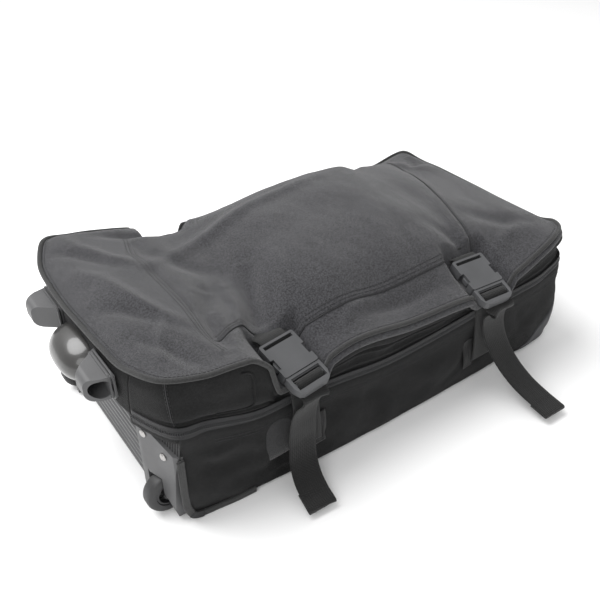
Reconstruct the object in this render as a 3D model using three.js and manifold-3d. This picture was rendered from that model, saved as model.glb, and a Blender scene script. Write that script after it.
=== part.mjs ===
// A soft wheeled cabin bag lying on its back: wheel end towards -X, trolley handle towards +X,
// the front panel (lid) up. Millimetres, +Z up, Z = 0 is the surface that the bag lies on.
import * as THREE from "three";
import { mergeVertices } from "three/addons/utils/BufferGeometryUtils.js";
import Module from "manifold-3d";

const wasm = await Module();
wasm.setup();

// ---------------------------------------------------------------- driving dimensions
const X_MIDDLE = 267; // from the fabric's wheel end to the middle of the whole bag
const GAP = 0.3; // clearance that touching pieces keep
const FIT = 0.6; // clearance that sliding and turning pieces keep
const SEGMENTS = 5; // straight steps in a quarter of a small corner

const TUB = { x0: 22, x1: 535, halfWidth: 143, corner: 30, wall: 4, underside: 3, floor: 2, top: 124 };
// Height of the zip line, and where it falls and rises along the bag.
const RIM = { wheelEnd: 120, middle: 96.5, handleEnd: 113, falls: [58, 108], rises: [480, 600] };
const LID = { x0: 3, x1: 532, halfWidth: 147, corner: 34, wall: 4.5, wheelTop: 167, handleTop: 150 };
const LID_BLOCKS = { wheelEnd: [88, 108], handleEnd: [438, 474], shoulder: 118 };
const CROWN_ENDS = [60, 500];
const CROWN = [[0, 180], [70, 170], [98, 139], [128, 120], [141, 104], [141, 80]];
const POCKET_HALF = 94; // half of the front pocket's width
const POCKET = { x0: 109, x1: 455, thickness: 3 };
const HINGE_BLOCK = { halfWidth: 97, z0: 112, z1: 162.5, board: 5 };
const BACK = { inset: 14, thickness: 2.5, roundness: 40 };
const BOARD = { reach: 8, thickness: 2.5, corner: 22, lift: 8 };

const WHEEL = {
  x: 20.5, y: 111, radius: 22.5, width: 16, shoulder: 4, hub: 13.5, web: 3, bore: 3.3, axle: 3, head: 4.4,
};
const SPOKES = { count: 5, window: 2.5, ring: 8.7, collar: 3 };
const HOUSING = { x0: 8, x1: 51, y0: 92, y1: 143.4, top: 104, bottom: 3.2, clearance: 1.2 };
const PLATE = { foldY: 98, rimX: 20, rimY: 140.4, sideX: 24, footY: 132, cornerY: 108, cornerZ: 88 };
const RIVET = { head: 4.2, height: 2.2, shank: 2, length: 5 };
const RIVET_PLACES = [[0.14, 96], [0.7, 82]]; // share of the plate's width, height

const FOOT = { y: 62, length: 27, rootWidth: 48, tipWidth: 16, lean: 6, z0: 132, z1: 156, nose: 8 };
const FOOT_CAVITY = { x: -13.2, reach: 10.6, rise: 9.4 };
const FOOT_RIMS = [{ x0: -3.4, x1: -1.9, grow: 2.8 }, { x0: -6.3, x1: -4.8, grow: 1.8 }];
const GRIP_DOME = { halfWidth: 37.5, depth: 29, halfHeight: 23, z: 129, wall: 3.5, fullness: 2.5 };

const WEBBING = { width: 32, thickness: 1.6 };
const BUCKLE = { width: 42, socket: 40, length: 62, thickness: 11, frame: 9, pitch: 0.36 };
const BAR = { y: 109, z: 141 }; // middle of the socket's bar
const STRAPS = [
  { name: "wheel_end", x: 148, turn: 0.157, tailX: [153, 137], tail: 209 },
  { name: "handle_end", x: 397.5, turn: -0.05, tailX: [402, 417], tail: 248 },
];

const SLIDER = { first: 452, pitch: 17, plate: 2.4, lug: 1.4, barrel: 1.5, pullLength: 26 };

const TUBE = { y: 70, z: 14, outer: [17, 13], inner: [13.6, 9.6], wall: 1.1 };
const TROLLEY = { footX: 62, innerX: 112, gripX: 541, gripDepth: 21, halfWidth: 84, z0: 6, z1: 27 };
const CARRY = { halfSpan: 52, z: 80, drop: 38, thickness: 8 };

// ---------------------------------------------------------------- finishes
const finish = (color, roughness, metalness = 0) => ({ color, roughness, metalness });
const FABRIC = finish(0x3a3a3d, 0.92);
const LID_FABRIC = finish(0x55555a, 0.9);
const WEB = finish(0x2b2b2d, 0.85);
const PLASTIC = finish(0x4a4b4d, 0.45);
const RUBBER = finish(0x1d1d1e, 0.7);
const METAL = finish(0xb9bbbd, 0.3, 1);

// ---------------------------------------------------------------- geometry helpers
const bag = new THREE.Group();
bag.position.x = -X_MIDDLE;

function add(name, geometry, look, parent = bag) {
  const mesh = new THREE.Mesh(geometry, new THREE.MeshStandardMaterial(look));
  mesh.name = name;
  parent.add(mesh);
  return mesh;
}

function outline(points) {
  return new THREE.Shape(points.map(([u, v]) => new THREE.Vector2(u, v)));
}

function roundedRect(u0, u1, v0, v1, r) {
  const shape = new THREE.Shape();
  shape.moveTo(u0 + r, v0);
  shape.lineTo(u1 - r, v0);
  shape.absarc(u1 - r, v0 + r, r, -Math.PI / 2, 0, false);
  shape.lineTo(u1, v1 - r);
  shape.absarc(u1 - r, v1 - r, r, 0, Math.PI / 2, false);
  shape.lineTo(u0 + r, v1);
  shape.absarc(u0 + r, v1 - r, r, Math.PI / 2, Math.PI, false);
  shape.lineTo(u0, v0 + r);
  shape.absarc(u0 + r, v0 + r, r, Math.PI, 1.5 * Math.PI, false);
  return shape;
}

function extrude(shape, depth, steps = SEGMENTS) {
  return new THREE.ExtrudeGeometry(shape, { depth, bevelEnabled: false, curveSegments: steps });
}

// Prisms along each axis. The outline is read as (x, y), (x, z) or (y, z).
function alongZ(shape, z0, z1, steps) {
  return extrude(shape, z1 - z0, steps).translate(0, 0, z0);
}
function alongY(shape, y0, y1, steps) {
  return extrude(shape, y1 - y0, steps).rotateX(Math.PI / 2).translate(0, y1, 0);
}
function alongX(shape, x0, x1, steps) {
  const turn = new THREE.Matrix4().makeBasis(
    new THREE.Vector3(0, 1, 0), new THREE.Vector3(0, 0, 1), new THREE.Vector3(1, 0, 0));
  return extrude(shape, x1 - x0, steps).applyMatrix4(turn).translate(x0, 0, 0);
}
function box(x0, x1, y0, y1, z0, z1) {
  return new THREE.BoxGeometry(x1 - x0, y1 - y0, z1 - z0)
    .translate((x0 + x1) / 2, (y0 + y1) / 2, (z0 + z1) / 2);
}
function rodAlongY(x, z, radius, y0, y1, sides = 20) {
  return new THREE.CylinderGeometry(radius, radius, y1 - y0, sides).translate(x, (y0 + y1) / 2, z);
}

function solid(geometry) {
  const bare = geometry.clone();
  bare.deleteAttribute("normal");
  bare.deleteAttribute("uv");
  const merged = mergeVertices(bare, 1e-4);
  const vertProperties = new Float32Array(merged.attributes.position.array);
  const triVerts = new Uint32Array(merged.index.array);
  return new wasm.Manifold(new wasm.Mesh({ numProp: 3, vertProperties, triVerts }));
}
function surface(manifold) {
  const mesh = manifold.getMesh();
  const geometry = new THREE.BufferGeometry();
  geometry.setAttribute("position", new THREE.BufferAttribute(new Float32Array(mesh.vertProperties), 3));
  geometry.setIndex(new THREE.BufferAttribute(new Uint32Array(mesh.triVerts), 1));
  return geometry;
}
const joined = (first, ...rest) => rest.reduce((sum, g) => sum.add(solid(g)), solid(first));
const less = (whole, ...cuts) => cuts.reduce((left, g) => left.subtract(solid(g)), whole);
const mirrorY = (points) => points.map(([y, z]) => [-y, z]).reverse();
const SIDES = [["near", -1], ["far", 1]];

// A strip of even thickness that follows a smooth line through the (y, z) points.
function ribbon(points, thickness, steps) {
  const line = new THREE.SplineCurve(points.map(([y, z]) => new THREE.Vector2(y, z)));
  const left = [];
  const right = [];
  for (let i = 0; i <= steps; i += 1) {
    const at = line.getPoint(i / steps);
    const along = line.getTangent(i / steps);
    left.push([at.x - (along.y * thickness) / 2, at.y + (along.x * thickness) / 2]);
    right.unshift([at.x + (along.y * thickness) / 2, at.y - (along.x * thickness) / 2]);
  }
  return outline([...left, ...right]);
}

// ---------------------------------------------------------------- the fabric body
const plan = (side, inset, r = side.corner) =>
  roundedRect(side.x0 + inset, side.x1 - inset, -side.halfWidth + inset, side.halfWidth - inset,
    r - inset);

// The zip line seen from the side, as (x, z); shift moves it up or down.
const zipLine = (shift) => [
  [-60, RIM.wheelEnd + shift], [RIM.falls[0], RIM.wheelEnd + shift],
  [RIM.falls[1], RIM.middle + shift], [RIM.rises[0], RIM.middle + shift],
  [RIM.rises[1], RIM.handleEnd + shift],
];

function aboveRim(shift) {
  return alongY(outline([...zipLine(shift), [600, 300], [-60, 300]]), -200, 200);
}

function belowRim(shift) {
  return alongY(outline([[-60, 20], ...zipLine(shift), [600, 20]].reverse()), -200, 200);
}

// The block that carries a wheel: its front face runs back at an angle to meet the bag's side.
function housingBlock(side, grow) {
  const y = (value) => side * value;
  const plate = [
    [HOUSING.x0 - grow, y(HOUSING.y0 - grow)], [HOUSING.x0 - grow, y(PLATE.foldY)],
    [PLATE.rimX - grow, y(PLATE.rimY)], [PLATE.sideX, y(HOUSING.y1 + grow)],
    [HOUSING.x1 + grow, y(HOUSING.y1 + grow)], [HOUSING.x1 + grow, y(HOUSING.y0 - grow)],
  ];
  const shape = outline(side > 0 ? plate.slice().reverse() : plate);
  return alongZ(shape, HOUSING.bottom - grow, HOUSING.top + grow);
}

const hingeProfile = (grow) => outline([
  [-grow, HINGE_BLOCK.z0 - grow], [TUB.x0 + 6 + grow, HINGE_BLOCK.z0 - grow],
  [TUB.x0 + 6 + grow, HINGE_BLOCK.z0 + HINGE_BLOCK.board + grow],
  [HINGE_BLOCK.board + grow, HINGE_BLOCK.z0 + HINGE_BLOCK.board + grow],
  [HINGE_BLOCK.board + grow, HINGE_BLOCK.z1 + grow], [-grow, HINGE_BLOCK.z1 + grow],
]);

const trolleyMouth = (grow) =>
  box(TUB.x1 - 12, TUB.x1 + 20, -TROLLEY.halfWidth + 4 - grow, TROLLEY.halfWidth - 4 + grow,
    TUBE.z - 8 - grow, TUBE.z + 8 + grow);

function makeTub() {
  const shell = less(
    solid(alongZ(plan(TUB, 0), TUB.underside, TUB.top)),
    alongZ(plan(TUB, TUB.wall), TUB.underside + TUB.floor, TUB.top + 20),
    aboveRim(0),
    housingBlock(-1, GAP), housingBlock(1, GAP),
    alongY(hingeProfile(GAP), -HINGE_BLOCK.halfWidth - GAP, HINGE_BLOCK.halfWidth + GAP),
    trolleyMouth(0),
  );
  add("main_compartment_shell", surface(shell), FABRIC);
}

function makeBackCover() {
  const shape = plan(TUB, BACK.inset, BACK.roundness);
  const cover = less(solid(alongZ(shape, 0, BACK.thickness)),
    box(0, HOUSING.x1 + 4, -160, -HOUSING.y0 + 4, -5, 10),
    box(0, HOUSING.x1 + 4, HOUSING.y0 - 4, 160, -5, 10));
  add("back_cover", surface(cover), FABRIC);
}

function makeBackBoard() {
  const { reach, thickness, corner, lift } = BOARD;
  const half = TUB.halfWidth - reach;
  const shape = roundedRect(HOUSING.x1 + reach, TUB.x1 - reach, -half, half, corner);
  add("back_board", alongZ(shape, TUBE.z + lift, TUBE.z + lift + thickness), PLASTIC);
}

function makeHingeBlock() {
  add("end_gusset", alongY(hingeProfile(0), -HINGE_BLOCK.halfWidth, HINGE_BLOCK.halfWidth), FABRIC);
}

// A moulded panel with shallow level ribs over the wheel end.
function makeWheelEndPanel() {
  const ribs = 12;
  const z0 = 4;
  const z1 = HINGE_BLOCK.z0 - 2;
  const pitch = (z1 - z0) / ribs;
  const face = [[TUB.x0 - GAP, z0]];
  for (let i = 0; i < ribs; i += 1) {
    const z = z0 + i * pitch;
    face.push([TUB.x0 - 3.2, z], [TUB.x0 - 5, z + 0.25 * pitch], [TUB.x0 - 5, z + 0.6 * pitch],
      [TUB.x0 - 3.2, z + 0.85 * pitch]);
  }
  face.push([TUB.x0 - 3.2, z1], [TUB.x0 - GAP, z1]);
  const half = HOUSING.y0 - 9;
  add("wheel_end_panel", alongY(outline(face.reverse()), -half, half), PLASTIC);
}

// ---------------------------------------------------------------- wheels
function faceFrame(side) {
  const from = new THREE.Vector2(HOUSING.x0, PLATE.foldY * side);
  const to = new THREE.Vector2(PLATE.rimX, PLATE.rimY * side);
  const along = to.clone().sub(from);
  const out = new THREE.Vector3(-Math.abs(along.y), side * along.x, 0).normalize();
  return { from, along, out };
}

function rivetGeometry(grow) {
  const profile = [[0, -RIVET.length - grow], [RIVET.shank + grow, -RIVET.length - grow],
    [RIVET.shank + grow, GAP], [RIVET.head, GAP], [RIVET.head * 0.86, RIVET.height * 0.6],
    [RIVET.head * 0.45, RIVET.height * 0.95], [0, RIVET.height]];
  return new THREE.LatheGeometry(profile.map(([r, h]) => new THREE.Vector2(r, h)), 16);
}

function placedRivet(side, share, z, grow) {
  const { from, along, out } = faceFrame(side);
  const turn = new THREE.Quaternion().setFromUnitVectors(new THREE.Vector3(0, 1, 0), out);
  return rivetGeometry(grow).applyQuaternion(turn)
    .translate(from.x + along.x * share, from.y + along.y * share, z);
}

const span = (side, a, b) => [side * a, side * b].sort((low, high) => low - high);

function makeWheelHousing(name, side) {
  const { x, y, radius, width, bore } = WHEEL;
  const { clearance, x0, x1, y0, y1, top } = HOUSING;
  const inner = y - width / 2 - clearance;
  const outer = y + width / 2 + clearance;
  const arch = radius + 4;
  const lean = [[y1 + 1, top - 8], [PLATE.footY, 0], [y1 + 20, 0], [y1 + 20, top - 8]];
  const sideCut = side > 0 ? lean : mirrorY(lean);
  const slope = [[PLATE.cornerY, top + 1], [y1 + 1, PLATE.cornerZ], [y1 + 1, top + 1]];
  const cornerCut = side > 0 ? slope : mirrorY(slope);
  const front = outline([[-40, -10], [x + 1, -10], [x + 1, 2], [x0, 54], [-40, 54]]);
  const body = less(solid(housingBlock(side, 0)),
    rodAlongY(x, radius, arch, ...span(side, inner, outer), 32),
    box(-40, x + arch, ...span(side, inner, outer), -10, radius),
    alongY(front, ...span(side, inner, outer + 60)),
    alongX(outline(sideCut), x0 - 5, x1 + 5),
    alongX(outline(cornerCut), x0 - 5, x1 + 5),
    rodAlongY(x, radius, bore, ...span(side, y0 + 1, y), 16),
    ...RIVET_PLACES.map(([share, z]) => placedRivet(side, share, z, GAP)));
  add(`wheel_housing_${name}`, surface(body), PLASTIC);
  RIVET_PLACES.forEach(([share, z], i) =>
    add(`rivet_${name}_${i + 1}`, placedRivet(side, share, z, 0), METAL));
}

function makeWheel(name, side) {
  const { x, y, radius, shoulder, hub: seat, web, bore, axle, head } = WHEEL;
  const half = WHEEL.width / 2;
  const lathe = (profile, sides) =>
    new THREE.LatheGeometry(profile.map(([r, h]) => new THREE.Vector2(r, h)), sides);
  const tyre = lathe([[seat, -half], [radius - shoulder, -half], [radius - 1.2, -half + 1.4],
    [radius, -half + shoulder], [radius, half - shoulder], [radius - 1.2, half - 1.4],
    [radius - shoulder, half], [seat, half], [seat, -half]], 48);
  add(`tyre_${name}`, tyre.translate(x, side * y, radius), RUBBER);

  const rim = seat - GAP;
  const lip = rim - 2;
  const collar = bore + SPOKES.collar;
  const disc = lathe([[bore, -half], [collar, -half], [collar, -web / 2], [lip, -web / 2],
    [lip, -half + 1], [rim, -half + 1], [rim, half - 1], [lip, half - 1], [lip, web / 2],
    [collar, web / 2], [collar, half], [bore, half], [bore, -half]], 36);
  const windows = Array.from({ length: SPOKES.count }, (_, i) => {
    const angle = (2 * Math.PI * i) / SPOKES.count;
    return rodAlongY(SPOKES.ring * Math.cos(angle), SPOKES.ring * Math.sin(angle), SPOKES.window,
      -half, half, 12);
  });
  const hub = surface(less(solid(disc), ...windows));
  add(`hub_${name}`, hub.translate(x, side * y, radius), PLASTIC);

  const pin = rodAlongY(x, radius, axle, ...span(side, HOUSING.y0 + 2, y + half + 0.4), 16);
  const cap = rodAlongY(x, radius, head, ...span(side, y + half + GAP, y + half + 1), 16);
  add(`axle_${name}`, surface(joined(pin, cap)), METAL);
}

// ---------------------------------------------------------------- feet and grab dome at the wheel end
function makeFoot(name, side) {
  const { length, rootWidth, tipWidth, z0, z1, nose } = FOOT;
  const y = (value) => side * value;
  const [root, tip] = [rootWidth / 2, tipWidth / 2];
  const tipY = FOOT.y + FOOT.lean;
  const half = [[-GAP, y(FOOT.y - root)], [-GAP, y(FOOT.y + root)], [-length * 0.55, y(tipY + tip + 7)],
    [-length, y(tipY + tip)], [-length, y(tipY - tip)], [-length * 0.8, y(tipY - tip - 4)]];
  const wedge = solid(alongZ(outline(side > 0 ? half.slice().reverse() : half), z0, z1));
  const cavity = FOOT_CAVITY;
  const middle = (z0 + z1) / 2;
  const profile = roundedRect(-length, 20, z0, z1, nose);
  const hollow = new THREE.CylinderGeometry(1, 1, 90, 28).scale(cavity.reach, 1, cavity.rise)
    .translate(cavity.x, y(FOOT.y - 2 + 45), middle);
  const rims = FOOT_RIMS.map(({ x0, x1, grow }) => {
    const reach = span(side, FOOT.y - root, FOOT.y + root + grow);
    return alongX(roundedRect(...reach, z0 - grow, z1 + grow, 8), x0, x1, 6);
  });
  const foot = wedge.intersect(solid(alongY(profile, -120, 120, 8))).subtract(solid(hollow));
  add(`foot_${name}`, surface(rims.reduce((sum, rim) => sum.add(solid(rim)), foot)), PLASTIC);
}

// Half an egg whose long axis lies along Y; fullness above 2 keeps it thick towards its ends.
function egg(halfWidth, depth, halfHeight) {
  const ball = new THREE.SphereGeometry(1, 44, 24);
  const place = ball.attributes.position;
  const { fullness } = GRIP_DOME;
  for (let i = 0; i < place.count; i += 1) {
    const [x, y, z] = [place.getX(i), place.getY(i), place.getZ(i)];
    const round = Math.hypot(x, z);
    const full = Math.max(1 - Math.abs(y) ** fullness, 0) ** (1 / fullness);
    const swell = round > 1e-6 ? full / round : 0;
    place.setXYZ(i, x * swell, y, z * swell);
  }
  return ball.scale(depth, halfWidth, halfHeight).translate(-GAP, 0, GRIP_DOME.z);
}

function makeEndGrip() {
  const { halfWidth, depth, halfHeight, z, wall } = GRIP_DOME;
  const dome = less(solid(egg(halfWidth, depth, halfHeight)),
    egg(halfWidth - wall, depth - wall, halfHeight - wall),
    box(-GAP, 60, -60, 60, z - 60, z + 60),
    box(-60, 60, -60, 60, z - 60, z - halfHeight * 0.45));
  add("end_grab_handle", surface(dome), PLASTIC);
}

// ---------------------------------------------------------------- the lid
function crownAlongX(lower, x0, x1) {
  const half = CROWN.map(([y, z]) => [Math.max(y - lower, 0), z - lower]);
  half[half.length - 1][1] = 40;
  const left = half.slice(1).map(([y, z]) => [-y, z]);
  return alongX(outline([...left.reverse(), ...half].reverse()), x0, x1);
}

// The lid's ends stand square and full; between them it is a crown that the straps pull down.
// lower insets a form by the wall's thickness, so the same outlines give the outside and the hollow.
function wheelEndBlock(lower) {
  const [inner, outer] = LID_BLOCKS.wheelEnd;
  return alongY(outline([
    [-20, LID.wheelTop - lower], [inner - lower, LID.wheelTop - lower],
    [outer - lower, LID_BLOCKS.shoulder - lower], [outer - lower, 40], [-20, 40],
  ].reverse()), -200, 200);
}
function handleEndBlock(lower) {
  const [outer, inner] = LID_BLOCKS.handleEnd;
  return alongY(outline([
    [outer + lower, 40], [outer + lower, LID_BLOCKS.shoulder - lower],
    [inner + lower, LID.handleTop - lower],
    [600, LID.handleTop - lower], [600, 40],
  ].reverse()), -200, 200);
}

function lidForm(lower) {
  const form = joined(wheelEndBlock(lower), handleEndBlock(lower),
    crownAlongX(lower, CROWN_ENDS[0] + lower, CROWN_ENDS[1] - lower));
  return form.intersect(solid(alongZ(plan(LID, lower), 30, 300)));
}

function makeLid() {
  const shell = less(lidForm(0).subtract(lidForm(LID.wall)),
    belowRim(FIT),
    box(-20, HINGE_BLOCK.board + 3, -HINGE_BLOCK.halfWidth - 1, HINGE_BLOCK.halfWidth + 1, 30,
      HINGE_BLOCK.z1 + GAP));
  add("lid_shell", surface(shell), LID_FABRIC);
}

// The front pocket is a second layer over the crown, sewn down on all four sides.
function makePocket() {
  const [, shoulder, eaves] = CROWN;
  const share = (POCKET_HALF - shoulder[0]) / (eaves[0] - shoulder[0]);
  const edge = [POCKET_HALF, shoulder[1] + share * (eaves[1] - shoulder[1])];
  const reach = [CROWN[0], shoulder, edge];
  const skin = (lift) => reach.map(([y, z]) => [y, z + lift]);
  const half = [...skin(POCKET.thickness + GAP), ...skin(GAP + 0.1).reverse()];
  const right = half.slice(0, 3);
  const lower = half.slice(3);
  const ring = [...right, ...lower, ...mirrorY(lower).slice(1), ...mirrorY(right).slice(0, 2)];
  add("front_pocket", alongX(outline(ring.reverse()), POCKET.x0, POCKET.x1), LID_FABRIC);
}

// ---------------------------------------------------------------- zip
function makeZip() {
  const ring = (outer) => alongZ(plan(TUB, -outer, TUB.corner), RIM.middle - 5.5, RIM.middle - 0.5);
  const tape = less(solid(ring(2)), alongZ(plan(TUB, -GAP, TUB.corner), 50, 200),
    box(-50, 112, -200, 200, 0, 200), box(480, 600, -120, 120, 0, 50));
  add("zip_track", surface(tape), WEB);
  const { plate, lug, barrel, pullLength, first, pitch } = SLIDER;
  const y0 = TUB.halfWidth + 2 + GAP;
  const z0 = RIM.middle - 8;
  const hingeY = y0 + plate + barrel + 0.4;
  const hingeZ = z0 + 4;
  ["a", "b"].forEach((letter, i) => {
    const x = first + pitch * i;
    const lugs = [-1, 1].map((end) => box(x + end * 3.7 - lug / 2, x + end * 3.7 + lug / 2,
      y0 + plate - 0.4, hingeY + barrel, hingeZ - 2, hingeZ + 2));
    add(`zip_slider_${letter}`,
      surface(joined(box(x - 6, x + 6, y0, y0 + plate, z0, z0 + 8), ...lugs)), METAL);
    const head = new THREE.CylinderGeometry(barrel, barrel, 5.2, 12).rotateZ(Math.PI / 2)
      .translate(x, hingeY, hingeZ);
    const neck = box(x - 2.2, x + 2.2, hingeY - 0.5, hingeY + 0.5, hingeZ - 5, hingeZ);
    const tab = alongY(roundedRect(x - 3.6, x + 3.6, hingeZ - pullLength, hingeZ - 3, 1.4),
      hingeY - 0.6, hingeY + 0.6, 3);
    add(`zip_pull_${letter}`, surface(joined(head, neck, tab)), METAL);
  });
}

// ---------------------------------------------------------------- straps and buckles
// A buckle is drawn flat: u across the webbing, v from the socket's bar to the plug's tip, w up.
function socketGeometry() {
  const half = BUCKLE.width / 2;
  const thick = BUCKLE.thickness / 2;
  const body = roundedRect(-half, half, 0, BUCKLE.socket, 2.5);
  return surface(less(solid(alongZ(body, -thick, thick, 3)),
    box(-17.4, 17.4, 2.6, 6.4, -20, 20),
    box(-18, 18, 9.5, BUCKLE.socket + 5, -3.3, 3.3),
    box(-half - 5, -14, 17, 31, -20, 3.3),
    box(14, half + 5, 17, 31, -20, 3.3),
    box(-half - 5, -half + 3.4, 18, 30, -20, 20),
    box(half - 3.4, half + 5, 18, 30, -20, 20)));
}

function frameGeometry() {
  const half = BUCKLE.width / 2;
  const thick = BUCKLE.frame / 2;
  const start = BUCKLE.socket + GAP;
  const end = BUCKLE.length;
  const body = outline([[-half, start], [half, start], [half, end - 9], [half - 3, end - 2.5],
    [half - 6.5, end], [-half + 6.5, end], [-half + 3, end - 2.5], [-half, end - 9]]);
  return surface(less(solid(alongZ(body, -thick, thick, 3)),
    box(-17.2, 17.2, start + 4, start + 7.8, -20, 20),
    box(-17.2, 17.2, start + 11.6, start + 15.4, -20, 20),
    box(-17.2, 17.2, start + 3, start + 16.4, 2.2, 20)));
}

function prongGeometry() {
  const base = BUCKLE.socket - 4;
  const arm = [[-3.4, base], [-3.4, 19], [3.4, 19], [3.4, base], [11.5, base], [11.5, 15],
    [15, 13], [19.6, 22], [19.6, 29], [16.4, 29], [16.4, BUCKLE.socket - 0.1]];
  const left = arm.slice(4).map(([u, v]) => [-u, v]).reverse();
  return alongZ(outline([...left, ...arm].reverse()), -2.6, 2.6);
}

// The webbing's three runs as (y, z) points, for the side that outward (-1 or 1) gives.
function strapRuns(strap, outward) {
  const { pitch, length, socket } = BUCKLE;
  const away = [Math.cos(pitch), -Math.sin(pitch)];
  const at = (v, w) => [BAR.y + away[0] * v + Math.sin(pitch) * w,
    BAR.z + away[1] * v + Math.cos(pitch) * w];
  const tip = at(length, 0);
  const long = strap.tail > 220;
  const bow = [[tip[0] + 3.8, tip[1] + 4.5], [tip[0] + 3, tip[1] - 7], [158, 92], [154, 70]];
  const foot = long
    ? [[160, 47], [178, 30], [208, 19], [strap.tail, 14]]
    : [[153.5, 42], [159, 26], [177, 16.5], [strap.tail, 13.5]];
  const runs = {
    upper: [[POCKET_HALF + 4, 145.6], at(-7, 1), at(-1.5, 0.4)],
    lower: [[144.6, 46], [145.2, 70], [147.2, 92], at(socket + 8, -10)],
    tail: [...bow, ...foot],
  };
  for (const key of Object.keys(runs)) {
    runs[key] = runs[key].map(([y, z]) => [outward * y, z]);
  }
  return runs;
}

// Moves each point of a strip along X by an amount that depends on how far out and how high it is.
function leaning(geometry, shift) {
  const place = geometry.attributes.position;
  for (let i = 0; i < place.count; i += 1) {
    place.setX(i, place.getX(i) + shift(Math.abs(place.getY(i)), place.getZ(i)));
  }
  return geometry;
}

function makeStrap(strap, name, side) {
  const runs = strapRuns(strap, side);
  const half = WEBBING.width / 2;
  const label = `${strap.name}_${name}`;
  const [highX, lowX] = strap.tailX;
  const slope = Math.tan(strap.turn);
  const strip = (points, steps, x) =>
    alongX(ribbon(points, WEBBING.thickness, steps), x - half, x + half);
  const turned = (y) => slope * (y - BAR.y);
  const upper = strip(runs.upper, 6, 0).translate(0, -side * BAR.y, 0).rotateZ(-side * strap.turn)
    .translate(strap.x, side * BAR.y, 0);
  const hanging = (y, z) => (lowX - highX) * Math.min(Math.max((BAR.z - z) / BAR.z, 0), 1);
  add(`upper_strap_${label}`, upper, WEB);
  add(`lower_strap_${label}`, leaning(strip(runs.lower, 8, strap.x), turned), WEB);
  add(`strap_tail_${label}`, leaning(strip(runs.tail, 18, highX), hanging), WEB);

  const buckle = new THREE.Group();
  buckle.position.set(strap.x, side * BAR.y, BAR.z);
  buckle.rotation.set(-BUCKLE.pitch, 0, side < 0 ? Math.PI + strap.turn : -strap.turn, "ZYX");
  bag.add(buckle);
  add(`buckle_socket_${label}`, socketGeometry(), PLASTIC, buckle);
  add(`buckle_plug_${label}`, frameGeometry(), PLASTIC, buckle);
  add(`buckle_prongs_${label}`, prongGeometry(), PLASTIC, buckle);
}

// ---------------------------------------------------------------- trolley and carry handle
function tubeGeometry(x0, x1, y, [width, height], wall) {
  const ring = (inset) => roundedRect(y - width / 2 + inset, y + width / 2 - inset,
    TUBE.z - height / 2 + inset, TUBE.z + height / 2 - inset, 2.2 - inset);
  return surface(less(solid(alongX(ring(0), x0, x1, 2)), alongX(ring(wall), x0 - 5, x1 + 5, 2)));
}

function makeTrolley() {
  const bracket = roundedRect(TROLLEY.footX - 16, TROLLEY.footX - GAP, -TUBE.y - 14, TUBE.y + 14, 4);
  add("trolley_foot_bracket", alongZ(bracket, TUB.underside + TUB.floor + GAP, TUBE.z + 7.6, 3), PLASTIC);
  const end = TUB.x1 - 1.2;
  for (const [name, side] of SIDES) {
    add(`trolley_outer_tube_${name}`,
      tubeGeometry(TROLLEY.footX, end, side * TUBE.y, TUBE.outer, TUBE.wall), METAL);
    add(`trolley_inner_tube_${name}`,
      tubeGeometry(TROLLEY.innerX, TROLLEY.gripX - GAP, side * TUBE.y, TUBE.inner, TUBE.wall), METAL);
  }
  const bezelX = TUB.x1 + GAP;
  const passage = (y) => box(bezelX - 5, bezelX + 20, y - TUBE.inner[0] / 2 - FIT,
    y + TUBE.inner[0] / 2 + FIT, TUBE.z - TUBE.inner[1] / 2 - FIT, TUBE.z + TUBE.inner[1] / 2 + FIT);
  const plate = roundedRect(-TROLLEY.halfWidth - 4, TROLLEY.halfWidth + 4, 4, TROLLEY.z1 + 4, 5);
  const lugs = SIDES.map(([, side]) => {
    const y = side * (CARRY.halfSpan + 9);
    return box(bezelX, bezelX + 11, y - 3.5, y + 3.5, CARRY.z - 6, CARRY.z + 6);
  });
  const spine = SIDES.map(([, side]) => {
    const y = side * (CARRY.halfSpan + 9);
    return box(bezelX, bezelX + 3, y - 3.5, y + 3.5, TROLLEY.z1, CARRY.z + 7);
  });
  const pin = rodAlongY(bezelX + 6, CARRY.z, 2.6, -CARRY.halfSpan - 30, CARRY.halfSpan + 30, 14);
  const bezel = less(joined(alongX(plate, bezelX, bezelX + 3, 3), ...lugs, ...spine),
    passage(-TUBE.y), passage(TUBE.y), pin);
  add("handle_end_bezel", surface(bezel), PLASTIC);

  const { gripX, gripDepth, halfWidth, z0, z1 } = TROLLEY;
  const grip = roundedRect(gripX, gripX + gripDepth, -halfWidth, halfWidth, 7);
  const button = roundedRect(gripX + gripDepth - 6, gripX + gripDepth + 1.5, -19, 19, 3);
  const well = roundedRect(gripX + gripDepth - 11, gripX + gripDepth + 4, -19.6, 19.6, 3);
  add("trolley_grip", surface(less(solid(alongZ(grip, z0, z1, 4)), alongZ(well, z0 + 5.4, z1 - 5.4, 3))),
    PLASTIC);
  add("trolley_button", alongZ(button, z0 + 6, z1 - 6, 3), PLASTIC);
}

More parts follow.
